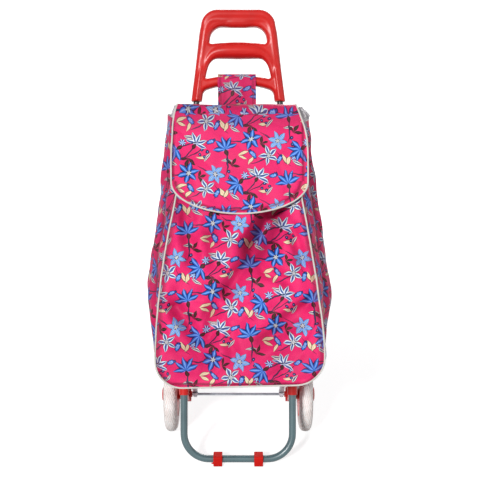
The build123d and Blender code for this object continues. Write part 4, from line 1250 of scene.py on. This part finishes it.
@dataclass
class Flap:
    """Lid of the bag: sewn to the back panel, over the top and down the front to a rounded edge."""

    maker: Maker
    cloth: Material
    lining: Material
    trim: Material
    thread: Material
    columns: int = 128
    rows: int = 156
    side_z: float = 563.0
    bow: float = 60.0
    standoff: float = 7.2
    thickness: float = 1.6
    cord_radius: float = 1.65
    ridge_share: float = 0.375
    places: tuple[float, ...] = (0.0, 0.06, 0.09, 0.12, 0.2, 0.28, 0.32, 0.345, 0.362, 0.375)
    path_w: tuple[float, ...] = (14.6, 14.8, 17.0, 24.0, 70.0, 118.0, 137.0, 147.5, 154.6, 158.6)
    path_z: tuple[float, ...] = (664.0, 692.0, 702.5, 708.5, 712.5, 714.8, 713.4, 709.2, 702.0, 690.0)
    path_half: tuple[float, ...] = (107.0, 108.5, 109.0, 110.0, 112.0, 113.2, 113.2, 113.2, 114.6, 118.6)
    low_heights: tuple[float, ...] = (480, 563, 585, 620, 655, 676, 690)
    low_half: tuple[float, ...] = (128.5, 129.0, 129.3, 129.0, 126.6, 123.2, 118.6)
    edge_half: float = 129.0
    seam_inset: float = 6.0
    print_top: float = 170.0                # mm; carries the print from the front on over the top
    print_shift: tuple[float, float] = (46.0, 33.0)     # where the print starts
    hinge_back: float = 14.0                # mm in front of the uprights where the cloth starts to turn
    hinge_front: float = 25.0               # and where it turns with the whole flap
    hinge_z: float = 700.0

    def bare(self, u: Array, v: Array) -> Array:
        """The flap without waves, from share across and share from the back edge to the hem."""
        angle = (u - 0.5) * math.pi
        side = np.sin(angle)
        hem = self.side_z - self.bow * np.cos(angle)
        on_front = v >= self.ridge_share
        down = np.clip((v - self.ridge_share) / (1 - self.ridge_share), 0, 1)
        start = self.path_z[-1]
        z_front = start + (hem - start) * down
        z = np.where(on_front, z_front, np.interp(v, self.places, self.path_z))
        off = self.standoff - 1.6 * ease(z_front, 662, 690)
        w = np.where(on_front, front_reach(z_front) + off, np.interp(v, self.places, self.path_w))
        half = np.where(on_front, smooth(z_front, self.low_heights, self.low_half),
                        np.interp(v, self.places, self.path_half))
        forward = ease(w, 24, 158)
        lean = (2.7 * (1 - ease(z, 640, 705)) - 2.6 * ease(z, 640, 705)) * forward
        return np.stack([side * half + lean, -w, z], 1)

    def lie(self, u: Array, v: Array) -> Array:
        """The flap with its waves, its seam's groove and its slightly raised hem."""
        points = self.bare(u, v)
        x, z = points[:, 0], points[:, 2]
        edge = self.edge_distance(u, v)
        down = ease(v, self.ridge_share, 1)
        spot = np.stack([x, z], 1)
        slant = np.stack([x * 0.6 + z * 0.8, (x * 0.8 - z * 0.6) * 0.4], 1)
        wave = ripple(spot, 70, 21.0) * 1.8 + ripple(slant, 26, 22.0) * 0.9
        wave -= 1.4 * (1 - np.abs(ripple(slant, 55, 23.0))).clip(0) ** 6
        wave = wave.clip(-2.0, 4) * (1 - 0.8 * patch_zone(x, z))
        wave *= ease(v, self.ridge_share - 0.03, self.ridge_share + 0.1)
        groove = -2.0 * np.exp(-((edge - self.seam_inset) / 2.6) ** 2)
        pucker = np.sin(x / 2.9 + z / 3.1) * 0.35 * np.exp(-((edge - 5.0) / 4.0) ** 2)
        lift = wave + (groove + pucker) * ease(v, self.ridge_share, self.ridge_share + 0.08)
        lift += 1.6 * down * (1 - ease(edge, 0, 40))
        points[:, 1] -= lift
        on_top = ease(v, 0.12, 0.2) * (1 - ease(v, 0.3, self.ridge_share))
        points[:, 2] += (ripple(np.stack([x, points[:, 1]], 1), 60, 24.0) * 1.3 - 0.4) * on_top
        ridge = ease(v, 0.3, 0.36) * (1 - ease(v, 0.38, 0.45))
        points[:, 2] += ripple(np.stack([x, x * 0], 1), 34, 25.0) * 1.1 * ridge
        return points

    def edge_distance(self, u: Array, v: Array) -> Array:
        """Rough distance in mm from the free edge."""
        points = self.bare(u, v)
        x, z = np.abs(points[:, 0]), points[:, 2]
        from_side = np.where(z > self.side_z, self.edge_half - x, 400)
        middle = np.hypot(points[:, 0] / self.edge_half, np.minimum(z - self.side_z, 0) / self.bow)
        below = (1 - middle) * (self.bow + 12)
        return np.where(z > self.side_z, np.minimum(from_side, 400), below).clip(0)

    def on_cloth(self, u: Array, v: Array) -> Array:
        """Place on the flat cloth, in mm."""
        points = self.bare(u, v)
        over_top = self.path_z[-1] + self.print_top + points[:, 1]
        along = np.where(v >= self.ridge_share, points[:, 2], over_top)
        return np.stack([points[:, 0] + self.print_shift[0], along + self.print_shift[1]], 1)

    def seam(self, u: Array, v: Array) -> Array:
        """Painted shade of the seam inside the piping and of the cloth where it turns over the top."""
        # painted shade: a line inside the piping and a band over the top where the cloth turns
        line = np.exp(-((self.edge_distance(u, v) - self.seam_inset) / 2.0) ** 2)
        turned = ease(v, 0.16, 0.3) * (1 - ease(v, self.ridge_share + 0.02, self.ridge_share + 0.14))
        return 0.7 * line * ease(v, self.ridge_share, self.ridge_share + 0.08) + 0.32 * turned

    def panel(self) -> Piece:
        """The double cloth of the flap."""
        flap = self.maker.sheet("flap_cloth", self.columns, self.rows, self.lie, self.on_cloth, self.seam)
        weld(flap, 1e-6)
        flap.data.materials.append(self.cloth)
        flap.data.materials.append(self.lining)
        self.face_out(flap)
        thicken(flap, self.thickness, -1, 60, lined=True)
        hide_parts("flap_panel")
        start = self.maker.stance.point(0, -self.hinge_back, self.hinge_z)
        end = self.maker.stance.point(0, -self.hinge_front, self.hinge_z)
        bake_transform(flap)
        return flap

    def face_out(self, flap: Piece) -> None:
        """Turns the open sheet's faces towards the front and the top."""
        middle = flap.data.polygons[len(flap.data.polygons) * 3 // 4]
        if middle.normal.y > 0:
            solo(flap)
            bpy.ops.object.mode_set(mode="EDIT")
            bpy.ops.mesh.select_all(action="SELECT")
            bpy.ops.mesh.flip_normals()
            bpy.ops.object.mode_set(mode="OBJECT")

    def edge_cord(self) -> Piece:
        """Piping along the flap's sides and rounded edge."""
        down = np.concatenate([np.linspace(0.16, 0.34, 8), np.linspace(0.355, 1.0, 26)])
        round_hem = np.linspace(0.0, 1.0, 61)[1:-1]
        u = np.concatenate([np.zeros_like(down), round_hem, np.ones_like(down)])
        v = np.concatenate([down, np.ones_like(round_hem), down[::-1]])
        line = self.lie(u, v)
        nearly = 0.985
        inner = self.lie(0.5 + (u - 0.5) * nearly, np.minimum(v, nearly))
        outward = line - inner
        outward /= np.linalg.norm(outward, axis=1, keepdims=True) + 1e-9
        line = line + outward * self.cord_radius * 0.7
        cord = self.maker.tube("flap_edge_cord", line, self.cord_radius)
        cord.data.materials.append(self.trim)
        shade_smooth(cord)
        hand_over(cord, "flap", "piping", "flap_piping")
        return cord

    def stitches(self) -> Piece:
        """Topstitching inside the piping along the sides and the rounded edge."""
        reach = self.edge_half - self.seam_inset
        turn = np.linspace(-math.pi / 2, math.pi / 2, 120)
        fall = np.linspace(684, self.side_z, 50)
        side = smooth(fall, self.low_heights, self.low_half) - self.seam_inset
        x = np.concatenate([-side, np.sin(turn) * reach, side[::-1]])
        z = np.concatenate([fall, self.side_z - np.cos(turn) * (self.bow - self.seam_inset), fall[::-1]])
        angle = np.arcsin(x / smooth(z, self.low_heights, self.low_half))
        hem = self.side_z - self.bow * np.cos(angle)
        down = (self.path_z[-1] - z) / (self.path_z[-1] - hem)
        line = self.lie(0.5 + angle / math.pi, self.ridge_share + (1 - self.ridge_share) * down)
        rows = self.maker.stitching("flap_stitches", [line], self.thread)
        hand_over(rows, "flap", "printed_cloth")
        return rows

    def build(self) -> None:
        """Makes the flap's pieces."""
        pieces = [self.panel(), self.edge_cord(), self.stitches()]
        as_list(pieces[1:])
        for piece in pieces:
            log.info("flap: %s", piece.name)


# ---- straps and ties --------------------------------------------------------------------------


@dataclass
class HangStrap:
    """Wide cloth loop that hangs the bag from the handle's lowest rung."""

    maker: Maker
    cloth: Material
    thread: Material
    width: float = 78.0
    length: float = 330.0
    middle: float = -3.0
    thickness: float = 1.3
    hem_at: float = 0.86        # share of the half width at which each hem is sewn
    columns: int = 36
    rows: int = 170
    path_w: tuple[float, ...] = (9.0, 9.2, 9.8, 13.0, 15.0, 15.2, 14.6, 10.0, 0.0, -10.0, -14.6, -15.2,
                                 -14.6, -8.0, 1.0, 6.4, 7.2, 7.3)
    path_z: tuple[float, ...] = (642, 672, 700, 728, 752, 772, 785.5, 792.3, 793.6, 792.3, 785.5, 772,
                                 752, 730, 712, 700, 672, 644)

    def lie(self, u: Array, v: Array) -> Array:
        """The strap, from share across and share along."""
        knots = np.linspace(0, 1, len(self.path_w))
        w, z = smooth(v, knots, self.path_w), smooth(v, knots, self.path_z)
        side = 2 * u - 1
        spot = np.stack([side * self.width / 2, v * 300], 1)
        wave = ripple(spot, 24, 31.0) * 1.5 + ripple(spot, 11, 32.0) * 0.5
        going_up = ease(v, 0.12, 0.24) * (1 - ease(v, 0.3, 0.36))
        coming_down = ease(v, 0.64, 0.7) * (1 - ease(v, 0.78, 0.86))
        free = going_up + coming_down
        hem = 0.5 * np.exp(-((np.abs(side) - self.hem_at) / 0.05) ** 2)
        w = w + (wave + 0.8) * free - hem * ease(v, 0.1, 0.2) * (1 - ease(v, 0.45, 0.5))
        x = self.middle + side * self.width / 2 + ripple(np.stack([v * 300, side], 1), 40, 33.0) * 0.7
        return np.stack([x, -w, z], 1)

    def on_cloth(self, u: Array, v: Array) -> Array:
        """Place on the flat cloth, in mm."""
        return np.stack([u * self.width + 52, v * self.length + 8], 1)

    def strap_painted_shade(self, u: Array, v: Array) -> Array:
        """Painted shade of the strap as a whole, more of it in its hems, and painted shadow at the end in the
        bag.
        """
        hem = np.exp(-((np.abs(2 * u - 1) - self.hem_at) / 0.035) ** 2)
        # painted shade over the whole strap and its hems, painted shadow where it goes down behind the flap
        return 0.32 + 0.45 * hem + 0.2 * (1 - ease(v, 0.1, 0.26))

    def build(self) -> None:
        """Makes the strap."""
        make = self.maker
        strap = make.sheet("hang_strap_cloth", self.columns, self.rows, self.lie, self.on_cloth, self.strap_painted_shade)
        weld(strap, 1e-6)
        strap.data.materials.append(self.cloth)
        thicken(strap, self.thickness, 0, 60)
        hand_over(strap, "trolley", "printed_cloth", "hang_strap")
        down = np.linspace(0.09, 0.4, 120)
        out = np.array([0, self.thickness / 2, 0])
        edges = [self.lie(np.full_like(down, share), down) - out for share in (0.07, 0.93)]
        rows = make.stitching("hang_strap_stitches", edges, self.thread)
        hand_over(rows, "trolley", "printed_cloth")
        log.info("strap: %s and %s", strap.name, rows.name)


@dataclass
class AxleTie:
    """Strip of lining that ties the bag's lower back edge to the axle."""

    maker: Maker
    lining: Material
    side: Side
    width: float = 15.0
    length: float = 190.0
    thickness: float = 0.8
    middle: float = 94.5
    columns: int = 16
    rows: int = 130
    path_w: tuple[float, ...] = (9.3, 8.6, 4.0, -20.0, -55.0, -90.0, -113.0, -122.8, -122.4, -117.5, -111.6,
                                 -108.0)
    path_z: tuple[float, ...] = (214, 194, 188, 174, 154, 133, 121.4, 117.5, 110.6, 108.4, 111.0, 118.0)

    def lie(self, u: Array, v: Array) -> Array:
        """The crumpled tie, from share across and share along."""
        knots = np.linspace(0, 1, len(self.path_w))
        w, z = smooth(v, knots, self.path_w), smooth(v, knots, self.path_z)
        seed = 41.0 + self.side.value
        spot = np.stack([(u - 0.5) * self.width, v * self.length], 1)
        free = ease(v, 0.1, 0.25)
        z = z + (ripple(spot, 9, seed) * 1.5 + 0.6) * free * (1 - ease(v, 0.55, 0.68) * 0.8)
        narrow = 1 - 0.25 * ease(v, 0.15, 0.4) + 0.1 * ripple(np.stack([v * self.length, v], 1), 18, seed + 1)
        narrow = narrow * (1 - 0.55 * ease(v, 0.66, 0.84) + 0.5 * ease(v, 0.88, 1.0))
        x = self.side.value * self.middle + (u - 0.5) * self.width * narrow
        return np.stack([x, -w, z], 1)

    def build(self) -> None:
        """Makes the tie."""
        def cloth(u: Array, v: Array) -> Array:
            """Place on the flat strip, in mm."""
            return np.stack([u * self.width, v * self.length], 1)
        name = f"axle_tie_{self.side.label}"
        tie = self.maker.sheet(name, self.columns, self.rows, self.lie, cloth)
        weld(tie, 1e-6)
        tie.data.materials.append(self.lining)
        thicken(tie, self.thickness, 0, 60)
        hand_over(tie, "trolley", "lining", f"axle_tab_{self.side.label}")
        log.info("tie: %s", name)


# ---- handle -----------------------------------------------------------------------------------


@dataclass
class Handle:
    """Moulded ladder handle: the frame's plain handle with swelling grips melted into it."""

    maker: Maker
    plastic: Material
    plain: Piece
    foot_z: float = 738.0
    rail_foot: float = 85.5     # middle of a rail at its lower end
    rail_slope: float = 0.128
    voxel: float = 1.15
    rounds: int = 9

    def grips(self) -> list[Piece]:
        """Swelling bars that sit on the plain handle."""
        def bar(name: str, half: Sequence[tuple[float, float, float, float]]) -> Piece:
            """A bar from its right half: points across, back and up, and the radius there."""
            left = [(-x, y, z, r) for x, y, z, r in reversed(half) if x > 0]
            line = np.array([*left, *half])
            route = line[:, :3] + np.array([[0, 0, self.foot_z]])
            return self.maker.tube(name, route, 1.0, radii=line[:, 3], sides=8)
        hand = bar("hand_bar", [(0, 0, 168, 15.5), (22, 0, 168, 15.5), (42, -0.5, 169, 14.5),
                                (55, -1, 167, 13.5), (64, -1.5, 158, 12.5), (68, -2, 144, 12.0),
                                (70.5, -2, 125, 11.8), (74.0, -2, 95, 11.6), (77.5, -1.5, 68, 11.2),
                                (80.0, -0.5, 48, 10.4)])
        roll = bar("roll", [(0, -4, 163, 11.5), (18, -4, 163, 11.5), (32, -4, 164, 9.0), (41, -3, 166, 5.0)])
        middle = bar("middle_bar", [(0, -3, 104.5, 16.2), (25, -3, 104, 15.8), (42, -3.5, 102, 14.0),
                                    (54, -4.5, 97, 11.2), (62, -5.5, 88, 9.2), (68, -5.5, 77, 7.8),
                                    (72, -5.0, 60, 7.0), (75, -3.5, 40, 6.2), (77, 0, 22, 5.0)])
        low = bar("low_bar", [(0, -1, 44.3, 9.6), (35, -1, 43.5, 9.6), (50, -2, 40.5, 9.4), (62, -2, 36, 8.6),
                              (73, -1, 31, 7.5), (82, 0, 26, 5.5)])
        ribs = [self.rib(side) for side in Side]
        return [hand, roll, middle, low, *ribs]

    def rib(self, side: Side) -> Piece:
        """Rounded rib down the front of a rail's lower half."""
        height = np.linspace(1.5, 70.0, 12)
        x = side.value * (self.rail_foot - self.rail_slope * height)
        route = np.stack([x, height * 0 - 11.2, height + self.foot_z], 1)
        radii = np.interp(height, (0, 50, 70), (4.6, 4.2, 2.6))
        return self.maker.tube("rib", route, 1.0, radii=radii, sides=6)

    def build(self) -> None:
        """Melts the bars into a copy of the plain handle."""
        handle = melt([twin(self.plain), *self.grips()], "handle_moulding", self.voxel, self.rounds)
        handle.data.materials.append(self.plastic)
        hand_over(handle, "trolley", "red_plastic", "handle")
        log.info("handle: %s, %d faces", handle.name, len(handle.data.polygons))


@dataclass
class FootPad:
    """Clip-on pad round the foot bar, with rounded edges and a thin top."""

    maker: Maker
    plastic: Material
    plain: Piece
    side: Side
    bar_radius: float = 7.7
    voxel: float = 0.55
    rounds: int = 30
    top_share: float = 0.62     # height that is left of what stands above the bar

    def tail(self) -> Piece:
        """Small tail of the clip that sticks out past the pad's end."""
        route = [(-48.0, -10.5, -7.2), (-52.0, -11.0, -6.9), (-54.5, -11.2, -6.6), (-56.5, -11.4, -6.4)]
        return self.maker.tube("tail", np.array(route), 1.0, radii=(2.4, 2.0, 1.4, 0.7), sides=6)

    def build(self) -> None:
        """Makes the pad."""
        pieces = [twin(self.plain)]
        if self.side is Side.LEFT:
            pieces.append(self.tail())
        pad = melt(pieces, f"pad_moulding_{self.side.label}", self.voxel, self.rounds)
        mesh = pad.data
        at = np.empty(len(mesh.vertices) * 3)
        mesh.vertices.foreach_get("co", at)
        z = at.reshape(-1, 3)[:, 2]
        z -= z.min()
        over = (self.maker.stance.pad_drop + self.bar_radius) * MM
        z[z > over] = over + (z[z > over] - over) * self.top_share
        mesh.vertices.foreach_set("co", at)
        mesh.update()
        mesh.materials.append(self.plastic)
        hand_over(pad, "trolley", "red_plastic", f"foot_pad_{self.side.label}")
        log.info("pad: %s", pad.name)


# ---- wheels -----------------------------------------------------------------------------------


@dataclass
class Tyre:
    """Foam tyre with a wavy tread."""

    maker: Maker
    rubber: Material
    side: Side
    axle_y: float = 118.0
    axle_z: float = 114.78
    middle: float = 145.2
    half_width: float = 14.4
    bead_radius: float = 50.0
    belly_radius: float = 57.0
    crown: float = 23.0
    fullness: float = 0.78      # below 1 squares the shoulders
    waves: int = 26
    groove_depth: float = 1.5
    tread_share: float = 0.84   # share of the section that is not the flat inside
    columns: int = 408
    rows: int = 72

    def section(self, share: Array) -> tuple[Array, Array]:
        """Half-width direction and radius round the tyre's closed section."""
        rise = (self.bead_radius - self.belly_radius) / self.crown
        floor_half = self.half_width * math.sqrt(1 - rise ** 2)
        low = math.asin(rise)
        angle = low + (math.pi - 2 * low) * np.clip(share / self.tread_share, 0, 1)
        x = self.half_width * np.sign(np.cos(angle)) * np.abs(np.cos(angle)) ** self.fullness
        r = self.belly_radius + self.crown * np.sign(np.sin(angle)) * np.abs(np.sin(angle)) ** self.fullness
        flat = share > self.tread_share
        across = (share - self.tread_share) / (1 - self.tread_share)
        x = np.where(flat, -floor_half + 2 * floor_half * across, x)
        return x, np.where(flat, self.bead_radius, r)

    def tread(self, turn: Array, x: Array, r: Array) -> Array:
        """How deep the wavy grooves are, from 0 to 1."""
        lane = x / self.half_width
        wave = lane * 3.1 + 0.42 * np.sin(turn * self.waves)
        line = np.abs((wave + 0.5) % 1 - 0.5)
        cross = np.abs((turn * self.waves / (2 * math.pi) * 2 + np.abs(lane) * 0.9) % 1 - 0.5) * 2
        cut = (1 - ease(line, 0.05, 0.16)) + (1 - ease(cross, 0.05, 0.2)) * ease(np.abs(lane), 0.45, 0.6)
        return cut.clip(0, 1) * ease(r, self.belly_radius + 3, self.belly_radius + 9)

    def cut(self, u: Array, v: Array) -> Array:
        """How deep the grooves are, from share round the wheel and share round the section."""
        return self.tread(u * 2 * math.pi, *self.section(v))

    def lie(self, u: Array, v: Array) -> Array:
        """The tyre, from share round the wheel and share round the section."""
        turn = u * 2 * math.pi
        x, r = self.section(v)
        r = r - self.tread(turn, x, r) * self.groove_depth
        y, z = self.axle_y + r * np.cos(turn), self.axle_z + r * np.sin(turn)
        return np.stack([self.side.value * self.middle + x, y, z], 1)

    def build(self) -> None:
        """Makes the tyre."""
        name = f"foam_tyre_{self.side.label}"
        tyre = self.maker.sheet(name, self.columns, self.rows, self.lie, mark=self.cut)
        weld(tyre, 2e-6)
        tyre.data.materials.append(self.rubber)
        shade_smooth(tyre, 60)
        hand_over(tyre, f"wheel_{self.side.label}", "tyre", f"tyre_{self.side.label}")
        log.info("wheel: %s", name)


# ---- studio -----------------------------------------------------------------------------------


def seen_directly(tree: Tree) -> bpy.types.Node:
    """Adds nodes that give 1 where the eye, a reflection or a refraction meets the surface."""
    path = add(tree, "LightPath")
    seen = add(tree, "Math", {0: path.outputs["Is Camera Ray"], 1: path.outputs["Is Glossy Ray"]},
               operation="MAXIMUM")
    return add(tree, "Math", {0: seen, 1: path.outputs["Is Transmission Ray"]}, operation="MAXIMUM")


@dataclass(frozen=True)
class StudioFloor(Finish):
    """White paper sweep: matt, lifted to plain white where the eye or a reflection meets it."""

    title: str = "white_paper_sweep"
    colour: str = "#b6b6b6"
    lift: float = 0.72

    def dress(self, tree: Tree, surface: bpy.types.Node) -> None:
        """Adds a little light of its own to what is seen, so that only shadows stay grey."""
        set_shader(surface, Roughness=0.9, Base_Color=linear(self.colour), Specular_IOR_Level=0.1)
        seen = seen_directly(tree)
        where = add(tree, "TexCoord").outputs["Object"]
        far = add(tree, "VectorMath", {0: where}, operation="LENGTH").outputs["Value"]
        away = add(tree, "MapRange", {"Value": far, "From Min": 0.55, "From Max": 1.6,
                                      "To Min": self.lift, "To Max": 1.0})
        glow = add(tree, "Math", {0: seen, 1: away}, operation="MULTIPLY")
        light = add(tree, "Emission", {"Color": (1, 1, 1, 1), "Strength": glow})
        both = add(tree, "AddShader", {0: surface.outputs[0], 1: light})
        tree.links.new(both.outputs[0], tree.nodes["Material Output"].inputs["Surface"])


@dataclass(frozen=True)
class SoftBox:
    """A rectangular lamp that looks at the middle of the trolley; places in metres, power in watts."""

    name: str
    at: tuple[float, float, float]
    width: float
    height: float
    power: float
    aim: tuple[float, float, float] = (0.0, 0.0, 0.5)

    def build(self) -> None:
        """Makes the lamp."""
        bpy.ops.object.light_add(type="AREA", location=self.at)
        lamp = bpy.context.active_object
        lamp.name = self.name
        lamp.data.shape, lamp.data.energy = "RECTANGLE", self.power
        lamp.data.size, lamp.data.size_y = self.width, self.height
        lamp.rotation_euler = (Vector(self.aim) - Vector(self.at)).to_track_quat("-Z", "Y").to_euler()


@dataclass
class Studio:
    """Floor, light and camera."""

    stance: Stance
    eye: tuple[float, float, float] = (3.6, -1968.0, 452.2)
    lens: float = 71.4
    tilt: float = 70.0          # degrees from straight down
    floor_size: float = 60.0    # metres
    sky: float = 0.17
    sun_power: float = 2.95
    sun_width: float = 9.0      # degrees; softens the edges of shadows
    sun_turn: tuple[float, float, float] = (61.0, 0.0, -24.0)
    boxes: tuple[SoftBox, ...] = (
        SoftBox("right_softbox", (2.1, -0.9, 1.1), 1.2, 1.2, 9),
        SoftBox("rear_softbox", (0.7, 2.4, 1.5), 1.4, 1.4, 38),
        SoftBox("left_strip", (-1.5, -1.9, 2.1), 0.28, 1.5, 3),
        SoftBox("right_strip", (1.5, -1.9, 2.1), 0.28, 1.5, 5),
    )

    def build(self) -> None:
        """Makes the floor, the lamps and the camera."""
        bpy.ops.object.select_all(action="DESELECT")
        bpy.ops.mesh.primitive_plane_add(size=self.floor_size)
        floor = bpy.context.active_object
        floor.name = "floor"
        floor.data.materials.append(StudioFloor().make())
        world = bpy.data.worlds.new("studio")
        bpy.context.scene.world = world
        world.use_nodes = True
        tree = world.node_tree
        seen = seen_directly(tree)
        strength = add(tree, "MapRange", {"Value": seen, "To Min": self.sky, "To Max": 1.0})
        tree.nodes["Background"].inputs["Color"].default_value = (1, 1, 1, 1)
        tree.links.new(strength.outputs[0], tree.nodes["Background"].inputs["Strength"])
        bpy.ops.object.light_add(type="SUN", location=(-1, -2, 3))
        sun = bpy.context.active_object
        sun.data.energy, sun.data.angle = self.sun_power, math.radians(self.sun_width)
        sun.rotation_euler = [math.radians(angle) for angle in self.sun_turn]
        for box in self.boxes:
            box.build()
        bpy.ops.object.camera_add(location=self.stance.point(*self.eye),
                                  rotation=(math.radians(self.tilt), 0, 0))
        camera = bpy.context.active_object
        camera.data.lens, camera.data.sensor_width = self.lens, 36.0
        camera.data.clip_end = 100
        bpy.context.scene.camera = camera
        bpy.context.scene.view_settings.view_transform = "Standard"
        log.info("studio: floor, sun, %d soft boxes and camera", len(self.boxes))


# ---- trolley ----------------------------------------------------------------------------------


@dataclass
class Metalwork:
    """The frame's own pieces, which only need their finishes."""

    nodes: dict
    finishes: dict[str, Material]

    def build(self) -> None:
        """Gives each of the frame's own pieces its material."""
        slots = {row["node"]: row["material_slot"] for row in frame["record"]["subparts"]}
        for name, piece in self.nodes.items():
            piece.data.materials.clear()
            piece.data.materials.append(self.finishes[slots[name]])
            log.info("frame: %s in %s", name, slots[name])


def main() -> None:
    """Builds the whole trolley in order."""
    mount = next(m for m in frame["record"]["mounts"] if m["name"] == "foot_left")
    stance = Stance(foot_y=mount["pos_m"][1] / MM)
    maker = Maker(stance)
    finishes = {
        "tube_paint": PowderCoat().make(),
        "dark_tube": PowderCoat("black_enamelled_steel", "#0d0e10", "#070708", "#2a2c2e", coat=0.05).make(),
        "red_plastic": MouldedPlastic().make(),
        "steel": ZincPlate().make(),
        "printed_cloth": PrintedSatin().make(),
        "lining": CoatedLining().make(),
        "piping": PipingTape().make(),
        "tape": HookTape().make(),
        "board": FibreBoard().make(),
        "tyre": FoamRubber().make(),
    }
    Studio(stance).build()
    Metalwork(frame["nodes"], finishes).build()
    cloth, lining, trim = finishes["printed_cloth"], finishes["lining"], finishes["piping"]
    thread = SewingThread().make()
    clip = MouldedPlastic("moulded_clip_polypropylene", "#cc1f18", "#a1100c", roughness=0.58,
                          gloss=0.1).make()
    reverse = CoatedLining("uncoated_lining_back", "#f4f2f7", "#cdc9d4").make()
    Bag(maker, cloth, lining, trim, thread).build()
    Flap(maker, cloth, lining, trim, thread).build()
    HangStrap(maker, cloth, thread).build()
    Handle(maker, finishes["red_plastic"], frame["nodes"]["handle"]).build()
    for side in Side:
        AxleTie(maker, reverse, side).build()
        Tyre(maker, finishes["tyre"], side).build()
        FootPad(maker, clip, frame["nodes"][f"foot_pad_{side.label}"], side).build()


if __name__ == "__main__":
    main()
